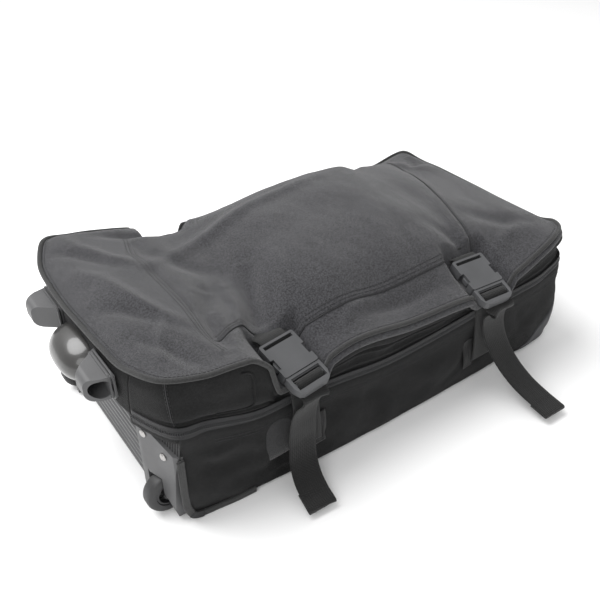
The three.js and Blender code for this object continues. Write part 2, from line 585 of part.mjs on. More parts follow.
// A padded carry handle that hangs flat on the handle end and turns out on two pins.
function makeCarryHandle() {
  const x = TUB.x1 + GAP + 6;
  const { halfSpan, z, drop, thickness } = CARRY;
  const arch = new THREE.Shape();
  arch.moveTo(-halfSpan - 5, z + 4);
  arch.lineTo(-halfSpan - 5, z - drop + 14);
  arch.quadraticCurveTo(-halfSpan - 5, z - drop, -halfSpan + 9, z - drop);
  arch.lineTo(halfSpan - 9, z - drop);
  arch.quadraticCurveTo(halfSpan + 5, z - drop, halfSpan + 5, z - drop + 14);
  arch.lineTo(halfSpan + 5, z + 4);
  arch.lineTo(halfSpan - 5, z + 4);
  arch.lineTo(halfSpan - 5, z - drop + 17);
  arch.quadraticCurveTo(halfSpan - 5, z - drop + 12, halfSpan - 10, z - drop + 12);
  arch.lineTo(-halfSpan + 10, z - drop + 12);
  arch.quadraticCurveTo(-halfSpan + 5, z - drop + 12, -halfSpan + 5, z - drop + 17);
  arch.lineTo(-halfSpan + 5, z + 4);
  arch.closePath();
  const strap = alongX(arch, x - thickness / 2 + 1, x + thickness / 2, 4);
  const pins = SIDES.map(([, side]) => {
    const ends = [side * (halfSpan - 1), side * (halfSpan + 14)].sort((a, b) => a - b);
    return rodAlongY(x, z, 2.2, ends[0], ends[1], 12);
  });
  add("carry_handle", surface(joined(strap, ...pins)), FABRIC);
}

// ---------------------------------------------------------------- assembly
makeTub();
makeBackCover();
makeBackBoard();
makeHingeBlock();
makeWheelEndPanel();
makeEndGrip();
makeLid();
makePocket();
makeZip();
for (const [name, side] of SIDES) {
  makeWheelHousing(name, side);
  makeWheel(name, side);
  makeFoot(name, side);
  for (const strap of STRAPS) {
    makeStrap(strap, name, side);
  }
}
makeTrolley();
makeCarryHandle();

export default bag;
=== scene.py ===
"""A soft wheeled cabin bag lying on its back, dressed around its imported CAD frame.

Shapes are worked out in millimetres from the bag's wheel end: x runs to the handle end, y to the
far side, z up from the surface that the bag lies on. metres() turns them into the frame's metres.
"""

import logging
import math
from dataclasses import dataclass, field
from enum import Enum
from typing import Optional, Sequence

import bmesh
import bpy
import numpy as np
from mathutils import Matrix


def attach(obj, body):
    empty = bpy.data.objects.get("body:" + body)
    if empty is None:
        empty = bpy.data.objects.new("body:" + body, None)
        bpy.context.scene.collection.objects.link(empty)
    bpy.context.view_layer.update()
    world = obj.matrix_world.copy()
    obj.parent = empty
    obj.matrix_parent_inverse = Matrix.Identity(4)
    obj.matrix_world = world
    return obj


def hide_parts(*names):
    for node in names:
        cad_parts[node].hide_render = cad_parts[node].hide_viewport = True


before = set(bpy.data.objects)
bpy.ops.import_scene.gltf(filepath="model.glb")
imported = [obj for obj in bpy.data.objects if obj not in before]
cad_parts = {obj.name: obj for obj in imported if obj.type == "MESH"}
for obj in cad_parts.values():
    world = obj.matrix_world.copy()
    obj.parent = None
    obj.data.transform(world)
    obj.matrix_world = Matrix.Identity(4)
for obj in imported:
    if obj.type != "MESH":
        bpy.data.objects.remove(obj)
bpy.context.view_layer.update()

LOG = logging.getLogger("cabin_bag")
MIDDLE = 267.0  # mm from the fabric's wheel end to the middle of the bag
MM = 0.001
SIDES = (("near", -1.0), ("far", 1.0))


# ------------------------------------------------------------------------------ numbers and curves
def metres(points: np.ndarray) -> np.ndarray:
    """Bag millimetres as the frame's metres."""
    return (np.asarray(points, float) - (MIDDLE, 0.0, 0.0)) * MM


def smooth(knots: Sequence[float], values: Sequence, at: np.ndarray) -> np.ndarray:
    """A smooth line through values at knots: on each span a cubic whose end slopes are the
    neighbouring chords' slopes, weighted by the other chord's length.

    Args:
        knots: rising positions, one for each value.
        values: numbers, or rows of numbers, to pass through.
        at: positions wanted; outside the knots the end values hold.
    Returns:
        The values at those positions, with the shape of at and of one value.
    """
    k = np.asarray(knots, float)
    v = np.asarray(values, float)
    q = np.clip(np.asarray(at, float), k[0], k[-1])
    flat = v.reshape(len(k), -1)
    step = np.diff(k)
    chord = np.diff(flat, axis=0) / step[:, None]
    slope = np.empty_like(flat)
    slope[0], slope[-1] = chord[0], chord[-1]
    slope[1:-1] = (chord[:-1] * step[1:, None] + chord[1:] * step[:-1, None]) / (
        step[1:] + step[:-1]
    )[:, None]
    i = np.clip(np.searchsorted(k, q.ravel(), side="right") - 1, 0, len(k) - 2)
    h = step[i][:, None]
    t = ((q.ravel() - k[i]) / step[i])[:, None]
    out = (
        flat[i] * (2 * t**3 - 3 * t**2 + 1)
        + slope[i] * h * (t**3 - 2 * t**2 + t)
        + flat[i + 1] * (3 * t**2 - 2 * t**3)
        + slope[i + 1] * h * (t**3 - t**2)
    )
    return out.reshape(q.shape + v.shape[1:])


def run_along(points: np.ndarray) -> np.ndarray:
    """How far along a broken line each of its points is, starting from nought."""
    return np.concatenate([[0.0], np.cumsum(np.linalg.norm(np.diff(points, axis=0), axis=1))])


def through(points: np.ndarray, count: int) -> np.ndarray:
    """That many points, evenly spread along a smooth line through the given ones."""
    knots = run_along(points)
    return smooth(knots, points, np.linspace(0, knots[-1], count))


def bell(distance: np.ndarray, width: float) -> np.ndarray:
    """A smooth bump: one at no distance, falling off as a Gaussian of that half width."""
    return np.exp(-((distance / width) ** 2))


def step_up(value: np.ndarray, start: float, end: float) -> np.ndarray:
    """Nought before start, one after end, a smooth cubic between."""
    t = np.clip((value - start) / (end - start), 0.0, 1.0)
    return t * t * (3 - 2 * t)


def lumps(x: np.ndarray, y: np.ndarray, size: float, seed: int, waves: int = 14) -> np.ndarray:
    """Soft unevenness of cloth: a sum of plane waves with seeded directions, lengths and phases.

    Args:
        x: first coordinate, in mm.
        y: second coordinate, in mm.
        size: the typical length of a wave, in mm.
        seed: picks the waves.
        waves: how many are added.
    Returns:
        Heights that vary about nought, with a spread of about one.
    """
    rng = np.random.default_rng(seed)
    angle = rng.uniform(0, 2 * math.pi, waves)
    rate = 2 * math.pi / (size * rng.uniform(0.6, 1.7, waves))
    phase = rng.uniform(0, 2 * math.pi, waves)
    shape = (-1,) + (1,) * np.ndim(x)
    along = x * np.cos(angle).reshape(shape) + y * np.sin(angle).reshape(shape)
    return np.sin(along * rate.reshape(shape) + phase.reshape(shape)).sum(0) / math.sqrt(waves / 2)


def fold(x: np.ndarray, y: np.ndarray, path: Sequence, width: float, height: float) -> np.ndarray:
    """A ridge, or a valley where height is below nought, along a broken line in the plane: height
    falls off with the distance to the line as a Gaussian, and fades towards both of its ends.

    Args:
        x: first coordinate, in mm.
        y: second coordinate, in mm.
        path: the line's corners.
        width: half width of the ridge, in mm.
        height: height on the line, in mm.
    Returns:
        Height added at each point.
    """
    points = np.asarray(path, float)
    ends = run_along(points)
    best = np.full(np.shape(x), np.inf)
    place = np.zeros(np.shape(x))
    for a, b, start in zip(points[:-1], points[1:], ends[:-1]):
        along = b - a
        size = float(np.hypot(*along))
        t = np.clip(((x - a[0]) * along[0] + (y - a[1]) * along[1]) / size**2, 0, 1)
        away = np.hypot(x - a[0] - t * along[0], y - a[1] - t * along[1])
        place = np.where(away < best, start + t * size, place)
        best = np.minimum(best, away)
    share = place / ends[-1]
    fade = np.sin(math.pi * np.clip(share, 0.04, 0.96)) ** 0.6
    return height * fade * bell(best, width)


# ------------------------------------------------------------------------------ meshes
def unit(vectors: np.ndarray) -> np.ndarray:
    """Rows scaled to length one."""
    size = np.linalg.norm(vectors, axis=-1, keepdims=True)
    return vectors / np.maximum(size, 1e-12)


def mesh_object(name: str, points: np.ndarray, faces: Sequence,
                uv: Optional[np.ndarray] = None) -> bpy.types.Object:
    """A mesh object at the origin from points in bag millimetres.

    Args:
        name: the piece's name.
        points: one row for each vertex.
        faces: vertex numbers, anticlockwise as seen from outside.
        uv: one row for each face corner, in metres along the cloth.
    Returns:
        The linked object.
    """
    mesh = bpy.data.meshes.new(name)
    mesh.from_pydata(metres(points).tolist(), [], [tuple(f) for f in faces])
    mesh.polygons.foreach_set("use_smooth", [True] * len(mesh.polygons))
    if uv is not None:
        layer = mesh.uv_layers.new(name="UVMap")
        layer.data.foreach_set("uv", np.asarray(uv, np.float32).ravel())
    mesh.update()
    obj = bpy.data.objects.new(name, mesh)
    bpy.context.scene.collection.objects.link(obj)
    return obj


def lengths(points: np.ndarray, axis: int, wrap: bool) -> np.ndarray:
    """Distance along one direction of a grid of points, as the mean over the other, in metres."""
    ring = np.concatenate([points, np.take(points, [0], axis)], axis) if wrap else points
    spans = np.linalg.norm(np.diff(ring, axis=axis), axis=-1).mean(axis=1 - axis)
    return np.concatenate([[0.0], np.cumsum(spans)]) * MM


def grid(name: str, points: np.ndarray, wrap_u: bool = False, wrap_v: bool = False,
         away_from: Optional[Sequence[float]] = None, caps: bool = False) -> bpy.types.Object:
    """A surface of quads over a grid of points, with a UV map in metres along both directions.

    Args:
        name: the piece's name.
        points: rows by columns by 3, in mm.
        wrap_u: the last row joins the first.
        wrap_v: the last column joins the first.
        away_from: a point in mm that the faces look away from, on the whole.
        caps: closes both ends of a tube, whose columns wrap.
    Returns:
        The linked object.
    """
    n, m = points.shape[:2]
    i, j = np.meshgrid(np.arange(n if wrap_u else n - 1), np.arange(m if wrap_v else m - 1),
                       indexing="ij")
    i, j = i.ravel(), j.ravel()
    i2, j2 = i + 1, j + 1
    quads = np.stack([i * m + j, (i2 % n) * m + j, (i2 % n) * m + j2 % m, i * m + j2 % m], 1)
    along, across = lengths(points, 0, wrap_u), lengths(points, 1, wrap_v)
    corners = np.stack([np.stack([along[i], across[j]], 1), np.stack([along[i2], across[j]], 1),
                        np.stack([along[i2], across[j2]], 1), np.stack([along[i], across[j2]], 1)],
                       1)
    flat = points.reshape(-1, 3)
    faces = quads.tolist()
    uv = corners.reshape(-1, 2)
    if caps:
        ends = [list(range(m))[::-1], [(n - 1) * m + k for k in range(m)]]
        faces += ends
        uv = np.concatenate([uv, np.zeros((2 * m, 2))])
    obj = mesh_object(name, flat, faces, uv)
    a, b, c, d = (flat[quads[:, k]] for k in range(4))
    area = np.cross(c - a, d - b)
    if away_from is not None:
        if ((a + c) / 2 - away_from).ravel() @ area.ravel() < 0:
            obj.data.flip_normals()
    elif caps or (wrap_u and wrap_v):
        if np.einsum("ij,ij->", (a + c) / 2 - flat.mean(0), area) < 0:
            obj.data.flip_normals()
    return obj


def close_up(obj: bpy.types.Object) -> bpy.types.Object:
    """Joins a closed mesh's doubled vertices and turns every face outwards."""
    work = bmesh.new()
    work.from_mesh(obj.data)
    bmesh.ops.remove_doubles(work, verts=work.verts, dist=1e-6)
    bmesh.ops.recalc_face_normals(work, faces=work.faces)
    work.to_mesh(obj.data)
    work.free()
    return obj


def thicken(obj: bpy.types.Object, thickness: float) -> None:
    """Gives a sheet that thickness in mm, inwards from its outer face."""
    wall = obj.modifiers.new("cloth", "SOLIDIFY")
    wall.thickness = thickness * MM
    wall.offset = -1.0


def frames(path: np.ndarray, side: np.ndarray, closed: bool) -> tuple[np.ndarray, np.ndarray]:
    """Side and up directions along a path: side is made square to the path's direction, and up is
    the direction of travel crossed with it.

    Args:
        path: points followed, in mm.
        side: wanted side direction, one row or one for each point.
        closed: the path joins up.
    Returns:
        The side and the up directions, one row for each point.
    """
    ahead = np.roll(path, -1, 0) - np.roll(path, 1, 0)
    if not closed:
        ahead[0], ahead[-1] = path[1] - path[0], path[-1] - path[-2]
    ahead = unit(ahead)
    across = np.broadcast_to(np.asarray(side, float), path.shape)
    across = unit(across - (across * ahead).sum(1, keepdims=True) * ahead)
    return across, np.cross(ahead, across)


def sweep(name: str, path: np.ndarray, profile: np.ndarray, side: np.ndarray,
          closed: bool = False, scale: Optional[np.ndarray] = None) -> bpy.types.Object:
    """A closed profile carried along a path: each vertex is the path's point plus the profile's
    first number along the side direction and its second along the up direction.

    Args:
        name: the piece's name.
        path: points followed, in mm.
        profile: a closed outline, in mm.
        side: the side direction, one row or one for each point.
        closed: the path joins up; otherwise both ends are capped.
        scale: a size for the profile at each point.
    Returns:
        The linked object.
    """
    across, up = frames(path, side, closed)
    size = np.ones(len(path)) if scale is None else scale
    points = path[:, None] + size[:, None, None] * (
        across[:, None] * profile[None, :, :1] + up[:, None] * profile[None, :, 1:]
    )
    obj = grid(name, points, wrap_u=closed, wrap_v=True, caps=not closed)
    return close_up(obj)


def circle(radius: float, steps: int = 12, squeeze: float = 1.0) -> np.ndarray:
    """A round profile, or an oval one where squeeze scales its second number."""
    turn = np.linspace(0, 2 * math.pi, steps, endpoint=False)
    return np.stack([radius * np.cos(turn), radius * squeeze * np.sin(turn)], 1)


def slab(width: float, thickness: float, steps: int = 10) -> np.ndarray:
    """A flat profile with rounded edges: half circles of the thickness join two straight faces."""
    half, r = width / 2 - thickness / 2, thickness / 2
    turn = np.linspace(-math.pi / 2, math.pi / 2, 5)
    flat = np.linspace(-half, half, steps)[1:-1]
    right = np.stack([half + r * np.cos(turn), r * np.sin(turn)], 1)
    top = np.stack([flat[::-1], np.full(len(flat), r)], 1)
    left = np.stack([-half - r * np.cos(turn), -r * np.sin(turn)], 1)
    bottom = np.stack([flat, np.full(len(flat), -r)], 1)
    return np.concatenate([right, top, left, bottom])


def along_path(path: np.ndarray, spacing: float, ends: float = 0.0) -> np.ndarray:
    """Places at even spacing along a path, as numbers that count its points from nought."""
    run = run_along(path)
    count = max(2, int(round((run[-1] - 2 * ends) / spacing)) + 1)
    return np.interp(np.linspace(ends, run[-1] - ends, count), run, np.arange(len(path)))


def pick(rows: np.ndarray, at: np.ndarray) -> np.ndarray:
    """Rows at fractional numbers, by straight interpolation."""
    low = np.clip(np.floor(at).astype(int), 0, len(rows) - 2)
    share = (at - low)[:, None]
    return rows[low] * (1 - share) + rows[low + 1] * share


@dataclass
class Rows:
    """Small closed shapes that are repeated along lines, gathered into one mesh."""

    name: str
    points: list = field(default_factory=list)
    faces: list = field(default_factory=list)

    def add(self, centres: np.ndarray, ahead: np.ndarray, up: np.ndarray, length: float,
            width: float, height: float) -> None:
        """Adds one spindle at each centre: three five-sided rings, the outer two smaller, closed by
        a face at each end.

        Args:
            centres: one row for each shape, in mm.
            ahead: the direction in which each shape is long.
            up: the direction away from the cloth.
            length: of each shape, in mm.
            width: of each shape, in mm.
            height: of each shape, in mm.
        """
        ahead, up = unit(ahead), unit(up - (up * unit(ahead)).sum(1, keepdims=True) * unit(ahead))
        across = np.cross(ahead, up)
        turn = np.linspace(0, 2 * math.pi, 5, endpoint=False) + math.pi / 2
        stations = ((-0.5, 0.55, -0.28), (0.0, 1.0, 0.0), (0.5, 0.55, -0.28))
        rings = [
            centres[:, None] + ahead[:, None] * (place * length)
            + across[:, None] * (np.cos(turn) * width / 2 * size)[None, :, None]
            + up[:, None] * ((np.sin(turn) * size + sink) * height / 2)[None, :, None]
            for place, size, sink in stations
        ]
        block = np.stack(rings, 1).reshape(len(centres), 15, 3)
        one = [[r * 5 + k, r * 5 + (k + 1) % 5, r * 5 + 5 + (k + 1) % 5, r * 5 + 5 + k]
               for r in range(2) for k in range(5)]
        start = sum(len(p) for p in self.points)
        offsets = start + 15 * np.arange(len(centres))
        self.faces += (np.array(one)[None] + offsets[:, None, None]).reshape(-1, 4).tolist()
        caps = np.array([[4, 3, 2, 1, 0], [10, 11, 12, 13, 14]])
        self.faces += (caps[None] + offsets[:, None, None]).reshape(-1, 5).tolist()
        self.points.append(block.reshape(-1, 3))

    def line(self, path: np.ndarray, up: np.ndarray, spacing: float = 3.6, length: float = 2.7,
             width: float = 0.8, height: float = 0.6, ends: float = 1.5) -> None:
        """Adds a row of stitches along a path.

        Args:
            path: points followed, in mm.
            up: directions away from the cloth, one row or one for each point.
            spacing: from stitch to stitch, in mm.
            length: of a stitch, in mm.
            width: of the thread, in mm.
            height: of the thread, in mm.
            ends: how far from the path's ends the row starts, in mm.
        """
        at = along_path(path, spacing, ends)
        centres = pick(path, at)
        ahead = pick(path, np.clip(at + 0.5, 0, len(path) - 1)) - pick(
            path, np.clip(at - 0.5, 0, len(path) - 1))
        normal = np.broadcast_to(np.asarray(up, float), path.shape)
        self.add(centres, ahead, pick(normal, at), length, width, height)

    def build(self) -> bpy.types.Object:
        """The gathered shapes as one object, faces outwards."""
        return close_up(mesh_object(self.name, np.concatenate(self.points), self.faces))


# ------------------------------------------------------------------------------ finishes
class Place(Enum):
    """What a pattern follows: the cloth's own threads, or the piece as it stands."""

    THREADS = "UV"
    PIECE = "Object"


class Nodes:
    """A material's node tree, with short ways to add what the finishes share."""

    def __init__(self, name: str) -> None:
        """Starts a material with a plain surface shader."""
        self.material = bpy.data.materials.new(name)
        self.material.use_nodes = True
        self.tree = self.material.node_tree
        self.shader = self.tree.nodes["Principled BSDF"]
        self.coordinates = self.tree.nodes.new("ShaderNodeTexCoord")

    def add(self, kind: str, **settings: object) -> bpy.types.Node:
        """A node of that kind with those settings."""
        node = self.tree.nodes.new("ShaderNode" + kind)
        for key, value in settings.items():
            setattr(node, key, value)
        return node

    def link(self, source: bpy.types.NodeSocket, target: bpy.types.NodeSocket) -> None:
        """Joins two sockets."""
        self.tree.links.new(source, target)

    def stretched(self, place: Place, scale: Sequence[float]) -> bpy.types.NodeSocket:
        """Coordinates of that kind, multiplied by a scale in each direction."""
        mapping = self.add("Mapping")
        mapping.inputs["Scale"].default_value = scale
        self.link(self.coordinates.outputs[place.value], mapping.inputs["Vector"])
        return mapping.outputs["Vector"]

    def noise(self, scale: float, detail: float = 3.0, place: Place = Place.PIECE,
              stretch: Sequence[float] = (1, 1, 1)) -> bpy.types.NodeSocket:
        """Noise of that many lumps a metre."""
        node = self.add("TexNoise")
        node.inputs["Scale"].default_value = scale
        node.inputs["Detail"].default_value = detail
        self.link(self.stretched(place, stretch), node.inputs["Vector"])
        return node.outputs["Fac"]

    def math(self, operation: str, first: object, second: object = 0.0) -> bpy.types.NodeSocket:
        """A sum of two numbers or sockets."""
        node = self.add("Math", operation=operation)
        for socket, value in zip(node.inputs, (first, second)):
            if isinstance(value, bpy.types.NodeSocket):
                self.link(value, socket)
            else:
                socket.default_value = value
        return node.outputs[0]

    def ramp(self, source: bpy.types.NodeSocket, low: float, high: float, dark: Sequence[float],
             light: Sequence[float]) -> bpy.types.NodeSocket:
        """Colour from dark at low to light at high."""
        node = self.add("ValToRGB")
        node.color_ramp.elements[0].position = low
        node.color_ramp.elements[1].position = high
        node.color_ramp.elements[0].color = (*dark, 1)
        node.color_ramp.elements[1].color = (*light, 1)
        self.link(source, node.inputs["Fac"])
        return node.outputs["Color"]

    def spread(self, source: bpy.types.NodeSocket, low: float, high: float) -> bpy.types.NodeSocket:
        """Numbers about a half spread between low and high."""
        node = self.add("MapRange")
        node.inputs["From Min"].default_value = 0.25
        node.inputs["From Max"].default_value = 0.75
        node.inputs["To Min"].default_value = low
        node.inputs["To Max"].default_value = high
        self.link(source, node.inputs["Value"])
        return node.outputs["Result"]

    def bump(self, height: bpy.types.NodeSocket, depth: float, strength: float = 1.0,
             under: Optional[bpy.types.NodeSocket] = None) -> bpy.types.NodeSocket:
        """Relief of that depth in metres, over another relief if one is given."""
        node = self.add("Bump")
        node.inputs["Distance"].default_value = depth
        node.inputs["Strength"].default_value = strength
        self.link(height, node.inputs["Height"])
        if under is not None:
            self.link(under, node.inputs["Normal"])
        return node.outputs["Normal"]

    def finish(self, roughness: Optional[bpy.types.NodeSocket] = None,
               normal: Optional[bpy.types.NodeSocket] = None,
               colour: Optional[bpy.types.NodeSocket] = None) -> bpy.types.Material:
        """Joins the patterns to the shader."""
        for source, socket in ((colour, "Base Color"), (roughness, "Roughness"),
                               (normal, "Normal")):
            if source is not None:
                self.link(source, self.shader.inputs[socket])
        return self.material


def shade(colour: Sequence[float], factor: float) -> tuple:
    """A colour made darker or lighter."""
    return tuple(c * factor for c in colour)


@dataclass(frozen=True)
class Polyester:
    """Coated woven polyester: a plain weave in relief, flecked threads and broad unevenness."""

    name: str
    colour: tuple
    thread: float = 0.62  # mm from thread to thread
    relief: float = 0.10  # mm
    sheen: float = 0.25
    fleck: float = 640.0  # flecks a metre

    def material(self) -> bpy.types.Material:
        """Weave height is the sine across the warp times the sine across the weft."""
        nodes = Nodes(self.name)
        split = nodes.add("SeparateXYZ")
        rate = 2 * math.pi / (self.thread * MM)
        nodes.link(nodes.stretched(Place.THREADS, (rate, rate, 1)), split.inputs[0])
        warp = nodes.math("SINE", split.outputs[0])
        weft = nodes.math("SINE", split.outputs[1])
        weave = nodes.math("MULTIPLY", warp, weft)
        fleck = nodes.noise(self.fleck, 3.0)
        broad = nodes.noise(16, 4.0)
        mixed = nodes.math("ADD", nodes.math("MULTIPLY", fleck, 0.88),
                           nodes.math("MULTIPLY", broad, 0.12))
        mixed = nodes.math("ADD", mixed, nodes.math("MULTIPLY", weave, 0.035))
        colour = nodes.ramp(mixed, 0.36, 0.64, shade(self.colour, 0.5), shade(self.colour, 1.5))
        soft = nodes.bump(nodes.noise(420, 3.0), 0.00022, 0.55)
        normal = nodes.bump(weave, self.relief * MM, 0.8, soft)
        nodes.shader.inputs["Sheen Weight"].default_value = self.sheen
        nodes.shader.inputs["Sheen Roughness"].default_value = 0.45
        nodes.shader.inputs["Specular IOR Level"].default_value = 0.28
        return nodes.finish(nodes.spread(broad, 0.80, 0.94), normal, colour)


@dataclass(frozen=True)
class Webbing:
    """Ribbed woven tape: ribs across its length, with a finer weave along it."""

    name: str
    colour: tuple
    rib: float = 1.5  # mm
    relief: float = 0.22  # mm

    def material(self) -> bpy.types.Material:
        """Rib height is the sine along the tape, broken up by the sine across it."""
        nodes = Nodes(self.name)
        split = nodes.add("SeparateXYZ")
        along, across = 2 * math.pi / (self.rib * MM), 2 * math.pi / (2.3 * MM)
        nodes.link(nodes.stretched(Place.THREADS, (along, across, 1)), split.inputs[0])
        rib = nodes.math("SINE", nodes.math("ADD", split.outputs[0], nodes.math(
            "MULTIPLY", nodes.math("SINE", split.outputs[1]), 1.1)))
        fleck = nodes.noise(700, 2.0)
        mixed = nodes.math("ADD", fleck, nodes.math("MULTIPLY", rib, 0.08))
        colour = nodes.ramp(mixed, 0.3, 0.72, shade(self.colour, 0.6), shade(self.colour, 1.45))
        normal = nodes.bump(rib, self.relief * MM, 0.85, nodes.bump(fleck, 0.0002, 0.5))
        nodes.shader.inputs["Sheen Weight"].default_value = 0.15
        nodes.shader.inputs["Specular IOR Level"].default_value = 0.3
        return nodes.finish(nodes.spread(nodes.noise(40), 0.72, 0.88), normal, colour)


@dataclass(frozen=True)
class Moulded:
    """Moulded plastic, rubber or lacquer: fine grain in relief, and rubbed and dusty patches."""

    name: str
    colour: tuple
    roughness: tuple = (0.36, 0.52)
    grain: float = 1500.0  # lumps a metre
    relief: float = 0.04  # mm
    coat: float = 0.0
    metallic: float = 0.0

    def material(self) -> bpy.types.Material:
        """Colour and roughness drift with broad noise; grain stands up as fine noise."""
        nodes = Nodes(self.name)
        broad = nodes.noise(22, 5.0)
        fine = nodes.noise(self.grain, 2.0)
        mixed = nodes.math("ADD", nodes.math("MULTIPLY", broad, 0.7),
                           nodes.math("MULTIPLY", fine, 0.3))
        colour = nodes.ramp(mixed, 0.3, 0.72, shade(self.colour, 0.8), shade(self.colour, 1.2))
        nodes.shader.inputs["Coat Weight"].default_value = self.coat
        nodes.shader.inputs["Coat Roughness"].default_value = 0.08
        nodes.shader.inputs["Metallic"].default_value = self.metallic
        return nodes.finish(nodes.spread(nodes.noise(45, 4.0), *self.roughness),
                            nodes.bump(fine, self.relief * MM, 0.6), colour)


@dataclass(frozen=True)
class Drawn:
    """Drawn or brushed metal: long scratches run along the piece."""

    name: str
    colour: tuple
    roughness: tuple = (0.22, 0.4)
    stretch: tuple = (0.03, 1, 1)

    def material(self) -> bpy.types.Material:
        """Noise stretched along the piece sets relief and roughness."""
        nodes = Nodes(self.name)
        scratch = nodes.noise(1600, 2.0, stretch=self.stretch)
        colour = nodes.ramp(scratch, 0.3, 0.7, shade(self.colour, 0.88), shade(self.colour, 1.06))
        nodes.shader.inputs["Metallic"].default_value = 1.0
        return nodes.finish(nodes.spread(scratch, *self.roughness),
                            nodes.bump(scratch, 0.00003, 0.5), colour)


FINISHES = (
    # The first cloth is the lid's cloth painted about six times darker, with little sheen: painted
    # shade for the cloth pieces that face sideways or down, away from the key lamp.
    Polyester("body_fabric", (0.0062, 0.0062, 0.0064), sheen=0.04),
    Polyester("lid_fabric", (0.0365, 0.0362, 0.0395)),
    Polyester("lining", (0.018, 0.018, 0.019), thread=0.4, relief=0.05),
    Moulded("coated_fabric", (0.008, 0.008, 0.011), (0.42, 0.6), 900, 0.05),
    Webbing("webbing", (0.0095, 0.0095, 0.0095)),
    Webbing("binding", (0.024, 0.024, 0.024), rib=1.1, relief=0.14),
    Webbing("zip_coil", (0.012, 0.012, 0.013), rib=0.9, relief=0.1),
    Moulded("thread", (0.010, 0.010, 0.011), (0.5, 0.7), 2500),
    Moulded("zip_metal", (0.050, 0.050, 0.052), (0.25, 0.42), 900, metallic=0.4),
    Moulded("wheel_rubber", (0.026, 0.026, 0.027), (0.42, 0.62), 1200, 0.06),
    Moulded("hub_plastic", (0.022, 0.022, 0.023), (0.35, 0.5)),
    Moulded("gloss_plastic", (0.026, 0.025, 0.024), (0.30, 0.38), 400, 0.015, 0.6),
    Moulded("board", (0.06, 0.06, 0.06), (0.5, 0.7)),
    Moulded("buckle_plastic", (0.066, 0.067, 0.070), (0.34, 0.46), 1800, 0.03),
    Moulded("moulded_plastic", (0.072, 0.072, 0.074), (0.40, 0.55), 1400, 0.05),
    Drawn("bright_steel", (0.42, 0.41, 0.40), (0.26, 0.42), (1, 1, 1)),
    Drawn("tube_aluminium", (0.55, 0.56, 0.57)),
)
WELD_DISTANCE = 1e-5  # m
EDGE_ROUND = 0.45  # mm off each sharp edge of a kept CAD node
SHARP_EDGE = 28.0  # degrees


class Wardrobe:
    """Holds the materials and dresses pieces with them."""

    def __init__(self) -> None:
        """Makes every finish once."""
        self.materials = {f.name: f.material() for f in FINISHES}

    def put_on(self, obj: bpy.types.Object, finish: str) -> None:
        """Gives a piece one finish."""
        obj.data.materials.clear()
        obj.data.materials.append(self.materials[finish])

    def dress(self, finish: str, *names: str) -> None:
        """Gives kept CAD nodes their finish, and rounds their sharp edges."""
        for name in names:
            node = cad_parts[name]
            node.data.materials.clear()
            node.data.materials.append(self.materials[finish])
            node.data.shade_smooth()
            weld = node.modifiers.new("weld", "WELD")
            weld.merge_threshold = WELD_DISTANCE
            bevel = node.modifiers.new("round", "BEVEL")
            bevel.width, bevel.segments = EDGE_ROUND * MM, 2
            bevel.limit_method, bevel.angle_limit = "ANGLE", math.radians(SHARP_EDGE)
            bevel.use_clamp_overlap = True
            node.modifiers.new("even", "WEIGHTED_NORMAL")


@dataclass
class Assembly:
    """A group of pieces that are dressed from one wardrobe."""

    wardrobe: Wardrobe

    def place(self, obj: bpy.types.Object, body: str, finish: str,
              replaces: Sequence[str] = ()) -> None:
        """Dresses a piece, puts it on its body and hides the CAD nodes that it stands for.

        Args:
            obj: the piece.
            body: the CAD body it moves with.
            finish: the name of its finish.
            replaces: CAD nodes that it replaces.
        """
        self.wardrobe.put_on(obj, finish)
        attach(obj, body)
        if replaces:
            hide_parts(*replaces)
        LOG.info("%s: %d faces on %s", obj.name, len(obj.data.polygons), body)

    def sheet(self, name: str, points: np.ndarray, thickness: float, body: str, finish: str,
              replaces: Sequence[str] = (), centre: float = 60.0) -> None:
        """A placed sheet of that thickness whose outer face is a grid of points.

        Args:
            name: the piece's name.
            points: rows by columns by 3, in mm.
            thickness: in mm.
            body: the CAD body it moves with.
            finish: the name of its finish.
            replaces: CAD nodes that it replaces.
            centre: height in the bag's middle that the outer face looks away from, in mm.
        """
        piece = grid(name, points, away_from=(MIDDLE, 0, centre))
        thicken(piece, thickness)
        self.place(piece, body, finish, replaces)


